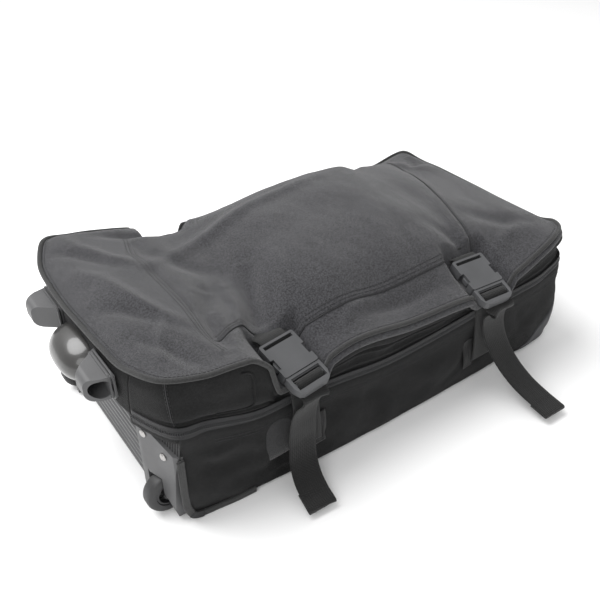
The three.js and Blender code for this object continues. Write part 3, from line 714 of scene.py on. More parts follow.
# ------------------------------------------------------------------------------ the bag's form
# Stations round the bag, from the middle of the wheel end past the near side: the piping's x and y,
# the zip line's x, y and z, and the foot line's x and y.
STATIONS = np.array([
    (-1, 20, 0.6, 20, 117, 22, 20),
    (1, -14, 0.6, -14, 117, 22, -14),
    (3, -54, 0.8, -54, 117, 22, -54),
    (8, -99, 3.5, -99, 119, 23, -97),
    (25, -133, 25, -144, 118.5, 28, -133.5),
    (52, -146, 51, -147, 115, 54, -139),
    (103, -149, 103, -147, 99, 100, -144),
    (150, -149, 150, -145, 96, 150, -147),
    (196, -149, 196, -146, 93, 196, -148),
    (289, -150, 270, -147, 88, 289, -147),
    (365, -150, 365, -147, 95, 365, -145),
    (403, -149, 403, -146, 98, 403, -144),
    (452, -149, 452, -146, 99, 452, -141),
    (494, -145, 494, -145, 104, 494, -141),
    (517, -134, 525, -138, 111, 523, -135),
    (529, -111, 537, -115, 113, 536, -113),
    (531, -50, 534.6, -50, 113, 534.6, -50),
    (528, 3, 534.6, 3, 113, 534.6, 3),
    (526, 70, 534.6, 70, 113, 534.6, 70),
    (525, 120, 532, 116, 112, 531, 112),
    (512, 139, 519, 136, 110, 516, 133),
    (475, 144, 480, 145, 101, 478, 143),
    (403, 147, 403, 147, 98, 403, 146),
    (320, 148, 320, 147, 93, 320, 147),
    (240, 148, 240, 147, 93, 240, 147),
    (150, 148, 150, 146, 97, 150, 147),
    (95, 149, 95, 147, 102, 95, 146),
    (52, 147, 51, 147, 116, 54, 139),
    (24, 138, 25, 144, 118.5, 28, 133.5),
    (4, 105, 3.5, 97, 119, 23, 97),
    (-1, 62, 0.6, 58, 117, 22, 58),
    (-1, 20, 0.6, 20, 117, 22, 20),
], float)
LOOP = run_along(STATIONS[:, :2])
ROUND = LOOP[-1]  # once round the bag
# Numbers of the stations where one stretch of the line gives way to the next.
WHEEL_NEAR, NEAR_FIRST, NEAR_LAST = 3, 4, 14
FAR_FIRST, FAR_LAST, WHEEL_FAR = 20, 28, 29
NEAR_SIDE, FAR_SIDE = slice(NEAR_FIRST, NEAR_LAST + 1), slice(FAR_FIRST, FAR_LAST + 1)

# The lid's height along its near and far edges, the crown's rise along the bag, and the crown's
# shape across it: positions, then values.
NEAR_EDGE = ([-5, 20, 50, 90, 103, 112, 120, 132, 150, 170, 196, 289, 365, 385, 403, 425, 452,
              496, 535],
             [167, 170, 171, 169, 165.5, 158, 149, 135, 124, 128, 137, 132, 128, 124, 121, 130,
              140, 155, 154])
FAR_EDGE = ([-5, 21, 50, 95, 150, 199, 269, 374, 430, 475, 521, 535],
            [176, 182, 179, 170, 156, 148, 153, 154, 146, 144, 153, 152])
CROWN_RISE = ([-5, 0, 40, 100, 150, 200, 270, 365, 440, 480, 520, 535],
              [0, 0, 2, 6, 22, 36, 44, 46, 32, 15, 2, 0])
CROWN_SHAPE = ([-1.05, -1, -0.86, -0.74, -0.58, -0.4, 0, 0.4, 0.58, 0.74, 0.88, 1, 1.05],
               [0, 0, 0.12, 0.38, 0.72, 0.91, 1, 0.93, 0.80, 0.52, 0.2, 0, 0])
STRAP_X = (148.0, 397.5)  # where the straps cross the lid's edge, wheel end first
BAR_Y, BAR_Z = 109.0, 141.0  # the middle of a socket's bar
PITCH = 0.36  # radians by which a buckle slopes down to the side
HALF_WIDTH = 149.0
FOOT_START = 0.86  # share of the wall's run above the turn under at the foot

FOLD_HEIGHT, FOLD_WIDTH = 1.7, 0.7  # shares of the folds' heights and half widths below

# Ridges and valleys of the lid's cloth: corners of the line, half width, height.
LID_FOLDS = (
    (((100, -150), (77, -106), (55, -47), (35, 25), (8, 69)), 15, 4.5),
    (((86, -132), (73, -92), (55, -58), (33, -28), (14, -9)), 12, -3.4),
    (((60, -140), (44, -100), (26, -70)), 9, -2.0),
    (((32, -118), (48, -84), (64, -60)), 8, 1.6),
    (((96, 96), (100, 60), (120, 20), (150, -10)), 15, -2.6),
    (((92, -132), (92, -103), (101, -67), (118, -30)), 13, -5.5),
    (((130, -104), (149, -75), (164, -44), (178, -10)), 14, -5.0),
    (((104, -116), (124, -93), (137, -60), (142, -30)), 9, 3.0),
    (((150, -118), (176, -88), (196, -50), (206, -16)), 12, 2.4),
    (((88, 30), (154, 52), (233, 66), (330, 72)), 14, 3.0),
    (((70, 120), (96, 112), (128, 104), (150, 92)), 12, -4.0),
    (((30, 140), (40, 100), (60, 60), (90, 34)), 13, 2.6),
    (((12, 110), (34, 84), (58, 44)), 11, -2.2),
    (((403, -140), (404, -112), (396, -84), (380, -60)), 12, -3.0),
    (((404, 118), (398, 96), (384, 70)), 13, -3.4),
    (((430, -128), (452, -112), (486, -104)), 10, 2.2),
    (((440, -60), (470, -88), (510, -112)), 16, -2.4),
    (((470, 120), (486, 80), (508, 60)), 14, 2.4),
    (((250, -128), (300, -130), (350, -126)), 9, -1.6),
    (((212, -132), (232, -120), (268, -116)), 8, 1.8),
    (((512, 118), (500, 90), (470, 70)), 12, -2.6),
)


def lid_height(x: np.ndarray, y: np.ndarray) -> np.ndarray:
    """The lid's height over the plan: the near and far edge lines joined straight across, plus the
    crown's rise along the bag times its shape across, plus folds and soft unevenness. It rolls
    over towards the far and handle-end edges, and the four straps hold it down to their slope.

    Args:
        x: from the wheel end, in mm.
        y: across the bag, in mm.
    Returns:
        Heights in mm.
    """
    v = np.clip(y / HALF_WIDTH, -1.04, 1.04)
    near, far = smooth(*NEAR_EDGE, x), smooth(*FAR_EDGE, x)
    z = near + (far - near) * (v + 1) / 2
    z += smooth(*CROWN_RISE, x) * smooth(*CROWN_SHAPE, v)
    inside = step_up(HALF_WIDTH - np.abs(y), 0, 24) * step_up(x, -2, 30) * step_up(532 - x, 0, 24)
    z -= 7.5 * bell(x + 6, 22) * (1 - v * v)
    z += 3.2 * step_up(x, 0, 26) * step_up(104 - x, 0, 60) * (1 - v * v)
    for path, width, height in LID_FOLDS:
        z += FOLD_HEIGHT * fold(x, y, path, FOLD_WIDTH * width, height) * (0.25 + 0.75 * inside)
    z += (0.4 * lumps(x, y, 60, 3) + 0.10 * lumps(x, y, 24, 4)) * inside
    z -= 10 * step_up(y, 122, 150) ** 2
    z -= 11 * step_up(x, 510, 534) ** 2 * step_up(y, -132, -90)
    for strap in STRAP_X:
        seat = BAR_Z - 8 - math.tan(PITCH) * (np.abs(y) - BAR_Y)
        held = step_up(34 - np.abs(x - strap - 3), 0, 11) * step_up(np.abs(y), 92, 103)
        z -= np.maximum(z - seat, 0) * held
    return z


@dataclass(frozen=True)
class Ring:
    """The line of stations round the bag and the surfaces hung from it."""

    wheel_near: float = LOOP[WHEEL_NEAR]
    wheel_far: float = LOOP[WHEEL_FAR]

    def piping(self, s: np.ndarray) -> np.ndarray:
        """The piping's line: the plan's smooth line, at the lid's height there."""
        plan = smooth(LOOP, STATIONS[:, :2], s)
        return np.concatenate([plan, lid_height(plan[..., 0], plan[..., 1])[..., None]], -1)

    def zip_line(self, s: np.ndarray) -> np.ndarray:
        """The zip's line."""
        return smooth(LOOP, STATIONS[:, 2:5], s)

    def foot_line(self, s: np.ndarray) -> np.ndarray:
        """The line where the side meets the back, on the ground."""
        plan = smooth(LOOP, STATIONS[:, 5:7], s)
        return np.concatenate([plan, np.zeros(plan.shape[:-1] + (1,))], -1)

    def outward(self, s: np.ndarray) -> np.ndarray:
        """Level directions away from the bag: square to the piping's plan."""
        ahead = smooth(LOOP, STATIONS[:, :2], s + 3) - smooth(LOOP, STATIONS[:, :2], s - 3)
        return unit(np.stack([ahead[..., 1], -ahead[..., 0], np.zeros(s.shape)], -1))

    def near_x(self, x: np.ndarray) -> np.ndarray:
        """The place along the piping where the near side has that x."""
        return np.interp(x, STATIONS[NEAR_SIDE, 0], LOOP[NEAR_SIDE])

    def far_x(self, x: np.ndarray) -> np.ndarray:
        """The place along the piping where the far side has that x."""
        return np.interp(x, STATIONS[FAR_SIDE, 0][::-1], LOOP[FAR_SIDE][::-1])

    def lid_side(self, s: np.ndarray, t: np.ndarray) -> np.ndarray:
        """The lid's side: a straight drop from the piping to the zip, with the padded flap's bulge
        pushed outwards over it and tucked back in above the zip.

        Args:
            s: places along the piping.
            t: nought at the piping, one at the zip.
        Returns:
            Points in mm.
        """
        top, bottom = self.piping(s), self.zip_line(s)
        points = top + (bottom - top) * t[..., None]
        side = step_up(s, self.wheel_near, LOOP[NEAR_FIRST + 1])
        side = side * step_up(self.wheel_far - s, 0, 60)
        full = smooth([0, 0.05, 0.12, 0.22, 0.33, 0.40, 0.44, 0.5, 0.55, 0.6, 0.7, 0.75, 0.8, 1],
                      [0, 0.6, 3.2, 5.0, 4.2, 1.0, -2.4, -3.4, -1.9, -2.8, -2.4, -1.2, -2.2, -1],
                      t)
        block = smooth([0, 0.05, 0.12, 0.5, 0.76, 0.82, 0.86, 0.9, 0.94, 1],
                       [0, -0.8, 0.4, 1.8, 1.0, -1.6, 0.2, -1.8, 0.2, -0.8], t)
        plain = smooth([0, 0.06, 0.3, 0.6, 0.9, 1], [0, -1.2, 0.6, 0.8, 0.2, 0], t)
        x = top[..., 0]
        full = block + (full - block) * step_up(x, 116, 150)
        bulge = plain + (full - plain) * side
        hollow = bell(x - 131, 10) * np.sin(math.pi * np.clip(t, 0, 1)) * (top[..., 1] < 0)
        bulge = bulge - 9 * hollow
        wrinkle = (0.5 * lumps(s, t * 45, 46, 11) + 0.15 * lumps(s, t * 45, 18, 12)) * (
            np.sin(math.pi * np.clip(t, 0, 1)) * side)
        pull = sum(bell(s - self.near_x(x), 20) for x in STRAP_X) + sum(
            bell(s - self.far_x(x), 20) for x in STRAP_X)
        points = points + self.outward(s) * (bulge * (1 - 0.75 * pull) + wrinkle)[..., None]
        return points

    def tub_side(self, s: np.ndarray, t: np.ndarray) -> np.ndarray:
        """The compartment's side: from the zip down to the foot line, a little full between, then
        turned under at the foot.

        Args:
            s: places along the piping.
            t: nought at the zip, one under the foot.
        Returns:
            Points in mm.
        """
        top, foot = self.zip_line(s), self.foot_line(s)
        drop = np.clip(t / FOOT_START, 0, 1)
        points = top + (foot - top) * drop[..., None]
        points[..., 2] = top[..., 2] * smooth([0, 0.7, 0.8, FOOT_START, 0.93, 1],
                                              [1, 0.1, 0.035, 0.010, 0.006, 0.006], t)
        side = step_up(np.abs(points[..., 1]), 96, 134)
        full = smooth([0, 0.05, 0.11, 0.16, 0.4, 0.7, 0.8, FOOT_START, 0.93, 1],
                      [0, 1.6, 1.0, 0.2, 2.6, 1.8, 0.4, -4, -14, -26], t)
        stiff = smooth([0, 0.7, 0.8, FOOT_START, 0.93, 1], [0, 0, -0.3, -3, -14, -26], t)
        out = stiff + (full - stiff) * side
        soft = step_up(t, 0.08, 0.3) * step_up(0.84 - t, 0, 0.2) * side
        z = points[..., 2]
        out = out + soft * (0.9 * lumps(s, z, 60, 21) + 0.25 * lumps(s, z, 26, 22))
        out = out + 5 * bell(s - LOOP[NEAR_LAST] - 8, 26) * np.sin(math.pi * drop)
        for path, width, height in TUB_FOLDS:
            out = out + soft * fold(np.where(points[..., 1] < 0, points[..., 0], -999), z, path,
                                    width, height)
        pull = sum(bell(s - self.near_x(x), 22) for x in (140, 392)) * step_up(t, 0.0, 0.1)
        out = out - 3.0 * pull * soft
        points = points + self.outward(s) * out[..., None]
        points[..., 2] = np.maximum(points[..., 2], 1.4)  # the cloth's own thickness
        return points


# Ridges and valleys of the near side below the zip, in x and z.
TUB_FOLDS = (
    (((40, 84), (62, 74), (92, 76)), 7, 3.0),
    (((38, 66), (66, 56), (100, 50)), 10, -3.4),
    (((74, 34), (100, 24), (128, 26)), 9, -2.8),
    (((96, 82), (110, 56), (118, 22)), 8, 2.4),
    (((128, 99), (129, 60), (133, 12)), 12, -15.0),
    (((176, 78), (200, 72), (228, 58)), 8, -3.0),
    (((230, 74), (246, 50), (250, 20)), 10, -2.6),
    (((300, 70), (330, 50), (372, 52)), 16, 2.2),
    (((340, 22), (372, 34), (392, 60)), 9, -3.0),
    (((452, 70), (470, 52), (500, 48)), 9, -2.0),
)
RING = Ring()


def mesh_grid(first: np.ndarray, second: np.ndarray) -> tuple[np.ndarray, np.ndarray]:
    """Every pair of the first numbers, as rows, and the second, as columns."""
    return np.meshgrid(first, second, indexing="ij")


# ------------------------------------------------------------------------------ the compartment
@dataclass
class Compartment(Assembly):
    """The bag's body below the zip: side walls, wheel-end wall, back, lining and bindings."""

    cloth: float = 1.3  # mm
    floor: float = 27.4  # mm, the lining's
    tape: tuple = (7.6, 2.2)  # mm, the binding's width and thickness
    block: tuple = (8.2, 2.0)  # mm, the dark block's width and thickness
    tape_near: float = RING.near_x(27)
    tape_far: float = RING.far_x(27)

    def walls(self) -> None:
        """One sheet from the near wheel's tape round the handle end to the far wheel's."""
        s, t = mesh_grid(np.linspace(self.tape_near, self.tape_far, 620), np.linspace(0, 1, 64))
        from_end = np.minimum(s - self.tape_near, self.tape_far - s)
        inset = 11 * step_up(t, 0.68, 0.88) ** 2 * (1 - step_up(from_end, 0, 60))
        s = s + np.where(s < ROUND / 2, inset, -inset)
        self.sheet("side_walls", RING.tub_side(s, t), self.cloth, "case", "body_fabric",
                   ["main_compartment_shell"])
        for name, start, end in (("near", LOOP[WHEEL_NEAR] - 4, self.tape_near + 6),
                                 ("far", self.tape_far - 6, LOOP[WHEEL_FAR] + 4)):
            s, t = mesh_grid(np.linspace(start, end, 40), np.linspace(0, 1, 8))
            top, shift = RING.zip_line(s), RING.outward(s)
            points = top + shift * (-0.6 * t - 1.2)[..., None]
            points[..., 2] = top[..., 2] + (104.6 - top[..., 2]) * t
            self.sheet(f"corner_band_{name}", points, self.cloth, "case", "body_fabric")

    def wheel_end(self) -> None:
        """The wall behind the ribbed panel, and the gusset above it that carries the feet."""
        y, z = mesh_grid(np.linspace(-98, 98, 60), np.linspace(3, 119, 30))
        x = np.full(y.shape, 22.4)
        self.sheet("wheel_end_wall", np.stack([x, y, z], -1), self.cloth, "case", "body_fabric")
        start, end = LOOP[WHEEL_FAR] + 0.3, ROUND + LOOP[WHEEL_NEAR] - 0.3
        s, t = mesh_grid(np.linspace(start, end, 120), np.linspace(0, 1, 30))
        points = RING.lid_side(np.mod(s, ROUND), np.clip(t / 0.8, 0, 1))
        shelf = step_up(t, 0.8, 1.0)[..., None] * np.array([22.0, 0, -3.0])
        self.sheet("end_gusset_cloth", points + shelf, self.cloth, "case", "body_fabric",
                   ["end_gusset"], centre=140)

    def back(self) -> None:
        """The cover that the bag lies on: a flat sheet with its edge rounded over."""
        x, y = mesh_grid(np.linspace(0, 1, 80), np.linspace(-1, 1, 60))
        notch = 1 - step_up(np.abs(y) * 129, 84, 92)
        px = (55 - 19 * notch) + x * (521 - 55 + 19 * notch)
        half = 129 * (1 - 0.10 * step_up(np.abs(px - 280), 215, 245))
        edge = np.minimum(np.minimum(x, 1 - x) * 480, (1 - np.abs(y)) * 129)
        z = 0.25 + 1.2 * (1 - step_up(edge, 0, 4)) + 0.05 * (1 + lumps(px, y * 129, 40, 31))
        self.sheet("back_cover_cloth", np.stack([px, y * half, z], -1), self.cloth, "case",
                   "body_fabric", ["back_cover"])

    def lining(self) -> None:
        """The cup inside: a wall inset from the stations and clear of the wheels, and a floor over
        the back board."""
        near = np.array([(27, 0), (27, -50), (30, -78), (48, -86), (57, -98), (57, -120),
                         (64, -134), (84, -139.5), (180, -139.5), (290, -139.5), (400, -139.5),
                         (470, -138), (510, -128), (526, -104), (529, -50)], float)
        plan = np.concatenate([near, near[::-1] * (1, -1)])
        knots = run_along(plan)
        around = np.linspace(0, knots[-1], 260, endpoint=False)
        ring = smooth(knots, plan, around)
        t = np.linspace(0, 1, 34)
        shrink = smooth([0, 0.55, 0.62, 0.7, 1], [1, 1, 0.985, 0.93, 0.0], t)
        rim = smooth([0, 60, 108, 480, 535], [112, 112, 88, 88, 98], ring[:, 0])
        height = smooth([0, 0.5, 0.6, 0.66, 1], [1, 0.12, 0.02, 0, 0], t)
        spine = np.clip(ring, (130, 0), (430, 0))
        plan3 = spine[:, None] + (ring - spine)[:, None] * shrink[None, :, None]
        z = self.floor + (rim[:, None] - self.floor) * height[None]
        z = z + 0.6 * lumps(plan3[..., 0] + z, plan3[..., 1], 50, 41) * step_up(t, 0.2, 0.5)
        points = np.concatenate([plan3, z[..., None]], -1)
        cup = grid("compartment_lining", points, wrap_u=True, away_from=(MIDDLE, 0, 60))
        close_up(cup)
        if np.dot(np.array(cup.data.polygons[0].normal),
                  metres(points[0, 0]) - np.array([0, 0, 0.06])) > 0:
            cup.data.flip_normals()
        thicken(cup, 0.8)
        self.place(cup, "case", "lining")

    def bindings(self) -> None:
        """Folded tape down the side walls' wheel-end edges, round the low corner and along the
        foot, with a dark block sewn over it at the corner."""
        for name, sign in SIDES:
            points = np.array([(24.6, 144.4, 86), (24.8, 143.6, 62), (25.4, 142.6, 38),
                               (27.6, 141.4, 18), (33, 140.8, 7.6), (43, 141.4, 4.6),
                               (58, 142.6, 4.3), (78, 144.6, 4.4), (98, 145.4, 4.8)], float)
            points = (points + (0, 1.0, 0)) * (1, sign, 1)
            path = through(points, 120)
            flat = np.cross(np.gradient(path, axis=0), (0.0, sign, 0.0))
            tape = sweep(f"edge_binding_{name}", path, slab(*self.tape, 6), flat)
            self.place(tape, "case", "binding")
            corner = slice(62, 74)
            block = sweep(f"edge_block_{name}", path[corner] + (0, sign * 0.9, 0),
                          slab(*self.block, 6), flat[corner])
            self.place(block, "case", "thread")

    def mesh_gussets(self) -> None:
        """The ribbed mesh in the slanted gap between each corner plate and the cloth: ribs are a
        sine in relief, up the slope."""
        for name, sign in SIDES:
            u, v = mesh_grid(np.linspace(0, 1, 80), np.linspace(0, 1, 24))
            low, high = (start + u[..., None] * (end - start) for start, end in np.array([
                ((14.0, 110.0, 104.6), (24.6, 143.6, 84.0)),
                ((14.0, 110.0, 105.4), (27.0, 144.8, 106.0))]))
            points = low + (high - low) * v[..., None]
            points = points + np.array([-0.5, 0.5, 0]) * (0.5 * np.sin(u * 78))[..., None]
            self.sheet(f"mesh_gusset_{name}", points * (1, sign, 1), 0.7, "case", "zip_coil")

    def corner_guards(self) -> None:
        """Smooth coated patches over the lower handle-end corners: each follows the wall, a little
        proud of it, from a bowed upper edge down to the foot."""
        for name, start, end in (("near", RING.near_x(462), LOOP[NEAR_LAST + 1] + 14),
                                 ("far", LOOP[FAR_FIRST - 1] - 14, RING.far_x(468))):
            u, v = mesh_grid(np.linspace(0, 1, 90), np.linspace(0, 1, 40))
            climb = u if name == "near" else 1 - u
            upper = smooth([0, 0.25, 0.5, 0.75, 1], [0.82, 0.62, 0.42, 0.26, 0.2], climb)
            s, t = start + (end - start) * u, upper + (0.9 - upper) * v
            rim = np.minimum(np.minimum(u, 1 - u) * 90, np.minimum(v, 1 - v) * 60)
            points = RING.tub_side(s, t) + RING.outward(s) * (0.25 + 0.9 * step_up(rim, 0, 2.5))[
                ..., None]
            points[..., 2] = np.maximum(points[..., 2], 1.2)
            self.sheet(f"corner_guard_{name}", points, 0.8, "case", "coated_fabric")

    def anchors(self) -> None:
        """Stitched webbing patches on the sides, beside the tails, that hold the lower straps."""
        for name, sign in SIDES:
            for number, (x0, x1, z0, z1) in enumerate(((162, 181, 27, 67), (374, 389, 24, 60))):
                x, z = mesh_grid(np.linspace(x0, x1, 16), np.linspace(z0, z1, 24))
                across = np.minimum(x - x0, x1 - x)
                s = RING.near_x(x) if sign < 0 else RING.far_x(x)
                wall = RING.tub_side(s, np.interp(z, [0, 98], [FOOT_START, 0.0]))
                y = wall[..., 1] + sign * (0.3 + 0.9 * step_up(across, -0.5, 1.2))
                points = np.stack([x, y, z], -1)
                self.sheet(f"anchor_patch_{number}_{name}", points, 0.9, "case", "webbing")
                rows = Rows(f"anchor_stitching_{number}_{name}")
                out = np.tile([0.0, sign, 0.0], (24, 1))
                for column in (3, 8, 12):
                    rows.line(points[column] + (0, sign * 0.3, 0), out, width=1.1)
                self.place(rows.build(), "case", "thread")

    def seams(self) -> None:
        """Stitch rows under the zip tape."""
        rows = Rows("wall_stitching")
        s = np.linspace(RING.near_x(60), RING.far_x(60), 1200)
        out = RING.outward(s)
        for share in (0.115, 0.14):
            rows.line(RING.tub_side(s, np.full(s.shape, share)) + out * 0.2, out)
        self.place(rows.build(), "case", "thread")

    def build(self) -> None:
        """Makes the whole compartment."""
        self.walls()
        self.wheel_end()
        self.back()
        self.lining()
        self.bindings()
        self.mesh_gussets()
        self.corner_guards()
        self.anchors()
        self.seams()
        self.wardrobe.dress("board", "back_board")


# ------------------------------------------------------------------------------ the lid
@dataclass
class Lid(Assembly):
    """The front panel above the zip: top, sides, piping, pocket and its seams."""

    cloth: float = 1.2  # mm
    pocket_cloth: float = 1.0  # mm
    pocket_lift: float = 1.1  # mm
    cord: float = 2.5  # mm, the piping's radius
    pad: float = 5.2  # mm, the roll's larger radius

    def top(self) -> None:
        """A patch between four stretches of the piping's plan: opposite stretches are joined
        straight, and the corners' bilinear share is taken away. Its height is the lid's."""
        rows, columns = 290, 165
        stretches = ((LOOP[NEAR_FIRST], LOOP[NEAR_LAST], rows),
                     (LOOP[FAR_LAST], LOOP[FAR_FIRST], rows),
                     (LOOP[NEAR_FIRST] + ROUND, LOOP[FAR_LAST], columns),
                     (LOOP[NEAR_LAST], LOOP[FAR_FIRST], columns))
        near, far, wheel, handle = (
            RING.piping(np.mod(np.linspace(start, end, count), ROUND))[:, :2]
            for start, end, count in stretches)
        a, b = np.linspace(0, 1, rows)[:, None, None], np.linspace(0, 1, columns)[None, :, None]
        plan = (near[:, None] * (1 - b) + far[:, None] * b
                + wheel[None] * (1 - a) + handle[None] * a
                - near[0] * (1 - a) * (1 - b) - near[-1] * a * (1 - b)
                - far[0] * (1 - a) * b - far[-1] * a * b)
        z = lid_height(plan[..., 0], plan[..., 1])
        self.sheet("lid_top", np.concatenate([plan, z[..., None]], -1), self.cloth, "lid",
                   "lid_fabric", ["lid_shell"])

    def sides(self) -> None:
        """One strip from the zip's near start to its far end, with the padded flap's bulge."""
        s, t = mesh_grid(np.linspace(RING.wheel_near + 0.3, RING.wheel_far - 0.3, 760),
                         np.linspace(0, 1, 54))
        # The lid's sides take the darker cloth, whose colour holds painted shade.
        self.sheet("lid_sides", RING.lid_side(s, t), self.cloth, "lid", "body_fabric", centre=120)

    def piping(self) -> None:
        """A round cord in folded tape round the lid's whole edge."""
        s = np.linspace(0, ROUND, 900, endpoint=False)
        path = RING.piping(s) + RING.outward(s) * 1.6 + (0, 0, 0.2)
        cord = sweep("lid_piping", path, circle(self.cord, 10), RING.outward(s), closed=True)
        self.place(cord, "lid", "binding")

    def roll(self) -> None:
        """The padded roll right under the piping, from the near wheel-end strap round the handle
        end to the far side: an oval carried along the edge, tapered at both ends."""
        start, end = RING.near_x(138), RING.far_x(440)
        s = np.linspace(start, end, 520)
        out = RING.outward(s)
        path = RING.piping(s) + out * 1.2 + (0, 0, -6.2)
        size = 0.25 + 0.75 * step_up(s, start, start + 34) * step_up(end - s, 0, 40)
        for strap in STRAP_X:
            size = size * (1 - 0.5 * bell(s - RING.near_x(strap), 16))
        roll = sweep("lid_edge_roll", path, circle(self.pad, 16, 0.8), out, scale=size)
        self.place(roll, "lid", "lid_fabric")

    @staticmethod
    def on_lid(x: np.ndarray, y: np.ndarray, lift: float) -> np.ndarray:
        """Points at those places, lifted off the lid, in mm."""
        return np.stack([x, y, lid_height(x, y) + lift], 1)

    @staticmethod
    def right_seam(y: np.ndarray) -> np.ndarray:
        """x of the pocket's handle-end seam."""
        return smooth([-160, -118, -76, -27, 20, 64, 104, 150],
                      [400, 413, 422, 434, 449, 464, 470, 474], y)

    @staticmethod
    def left_seam(y: np.ndarray) -> np.ndarray:
        """x of the pocket's wheel-end seam."""
        return smooth([-129, -110, -45, 33, 69, 98, 140], [92, 88, 90, 90, 90, 98, 101], y)

    @staticmethod
    def near_seam(x: np.ndarray) -> np.ndarray:
        """y of the pocket's near seam: it draws in to the crown where a strap comes out."""
        return smooth([80, 104, 120, 130, 152, 165, 182, 246, 330, 362, 382, 400, 420],
                      [-108, -103, -94, -90, -99, -105, -110, -113, -112, -109, -104, -103, -104],
                      x)

    def pocket(self) -> None:
        """The pocket's panel over the crown: a sheet between its seams that stands a little proud
        of the lid, rising quickly from its edge."""
        u, v = mesh_grid(np.linspace(0, 1, 270), np.linspace(0, 1, 165))
        y = -111 + v * 221
        x0, x1 = self.left_seam(y), self.right_seam(y)
        x = x0 + (x1 - x0) * u
        near_seam = self.near_seam(x)
        y = near_seam + (110 - near_seam) * v
        edge = np.minimum(np.minimum(x - x0, x1 - x), np.minimum(y - near_seam, 110 - y))
        rise = self.pocket_lift * step_up(edge, -0.5, 3.5) + 0.9 * step_up(edge, 2, 22)
        for strap in STRAP_X:
            rise = rise + 2.0 * bell(x - strap, 15) * step_up(16 - edge, 0, 10)
        z = lid_height(x, y) + 0.25 + rise
        self.sheet("pocket_panel", np.stack([x, y, z], -1), self.pocket_cloth, "lid", "lid_fabric",
                   ["front_pocket"])

    def seams(self) -> None:
        """Twin rows along the pocket's seams, and one row inside the piping."""
        rows = Rows("lid_stitching")
        up = np.array([0.0, 0.0, 1.0])
        y = np.linspace(-128, 128, 260)
        for shift in (-3.0, -6.5):
            rows.line(self.on_lid(self.left_seam(y) + shift, y, 0.15), up)
        x = np.linspace(92, 410, 320)
        for shift, lift in ((3.2, 1.6), (6.4, 2.0)):
            rows.line(self.on_lid(x, self.near_seam(x) + shift, lift), up)
        y = np.linspace(-140, 110, 250)
        rows.line(self.on_lid(self.right_seam(y) + 3.0, y, 0.15), up)
        s = np.full(120, RING.near_x(20.5))
        for shift in (-1.6, 1.6):
            t = np.linspace(0.08, 0.96, 120)
            rows.line(RING.lid_side(s + shift, t) + RING.outward(s) * 0.3, RING.outward(s))
        s = np.linspace(0, ROUND, 1500)
        inner = RING.piping(s) - RING.outward(s) * 3.4
        rows.line(self.on_lid(inner[:, 0], inner[:, 1], 0.15), up)
        self.place(rows.build(), "lid", "thread")

    def seam_lines(self) -> None:
        """Dark folded edges where panels meet: thin cords along the pocket's near and handle-end
        seams, down the wheel-end corner, and round the panel let into the near wheel-end side."""
        x = np.linspace(92, 409, 300)
        near = self.on_lid(x, self.near_seam(x) - 0.3, 0.5)
        y = np.linspace(-146, 112, 260)
        right = self.on_lid(self.right_seam(y) + 0.5, y, 0.35)
        s = np.full(80, RING.near_x(20.5))
        corner = RING.lid_side(s, np.linspace(0.04, 0.98, 80)) + RING.outward(s) * 0.2
        angle = np.linspace(-0.5 * math.pi, 0.42 * math.pi, 120)
        bow = np.sign(np.cos(angle)) * np.abs(np.cos(angle)) ** 0.28
        rise = np.sign(np.sin(angle)) * np.abs(np.sin(angle)) ** 0.34
        s = RING.near_x(64) + 37 * bow
        panel = RING.lid_side(s, 0.47 - 0.31 * rise) + RING.outward(s) * 0.6
        for name, path, radius, finish in (("pocket_near_edge", near, 0.6, "thread"),
                                           ("pocket_end_edge", right, 0.6, "thread"),
                                           ("corner_edge", corner, 0.6, "thread"),
                                           ("side_panel_piping", panel, 1.1, "body_fabric")):
            side = np.cross(np.gradient(path, axis=0), (0.0, 0.3, 1.0))
            self.place(sweep(name, path, circle(radius, 8), side), "lid", finish)

    def build(self) -> None:
        """Makes the whole lid."""
        self.top()
        self.sides()
        self.piping()
        self.roll()
        self.pocket()
        self.seam_lines()
        self.seams()


# ------------------------------------------------------------------------------ the zip
@dataclass
class Zip(Assembly):
    """The coil with its two tapes, from wheel to wheel round the handle end."""

    start: float = LOOP[WHEEL_NEAR] + 2
    end: float = LOOP[WHEEL_FAR] - 2
    tape: tuple = (6.2, 0.9)  # mm, width and thickness
    loop: tuple = (2.4, 1.1, 1.8)  # mm, length, width and height of a coil's loop
    spacing: float = 2.0  # mm from loop to loop

    def build(self) -> None:
        """Tapes are thin strips each side of the coil; the coil is two rows of slanted loops."""
        s = np.linspace(self.start, self.end, 900)
        out = RING.outward(s)
        line = RING.zip_line(s) + out * 0.4
        for name, body, shift, stands_for in (("zip_tape", "case", -3.4, ["zip_track"]),
                                              ("zip_tape_upper", "lid", 4.0, [])):
            tape = sweep(name, line + (0, 0, shift), slab(*self.tape, 6), np.array([0.0, 0.0, 1.0]))
            self.place(tape, body, "zip_coil", stands_for)
        for name, body, shift, lean in (("zip_coil_lower", "case", -0.9, 0.35),
                                        ("zip_coil_upper", "lid", 1.1, -0.35)):
            rows = Rows(name)
            at = along_path(line, self.spacing)
            centres, outs = pick(line, at), pick(out, at)
            rows.add(centres + outs * 0.8 + (0, 0, shift),
                     np.cross(outs, (0, 0, 1)) * lean + (0, 0, 1), outs, *self.loop)
            self.place(rows.build(), body, "zip_metal")
        for letter in "ab":
            self.wardrobe.dress("zip_metal", f"zip_slider_{letter}", f"zip_pull_{letter}")


# ------------------------------------------------------------------------------ straps
class Reach(Enum):
    """Which end of the bag a strap is at."""

    WHEEL_END = "wheel_end"
    HANDLE_END = "handle_end"


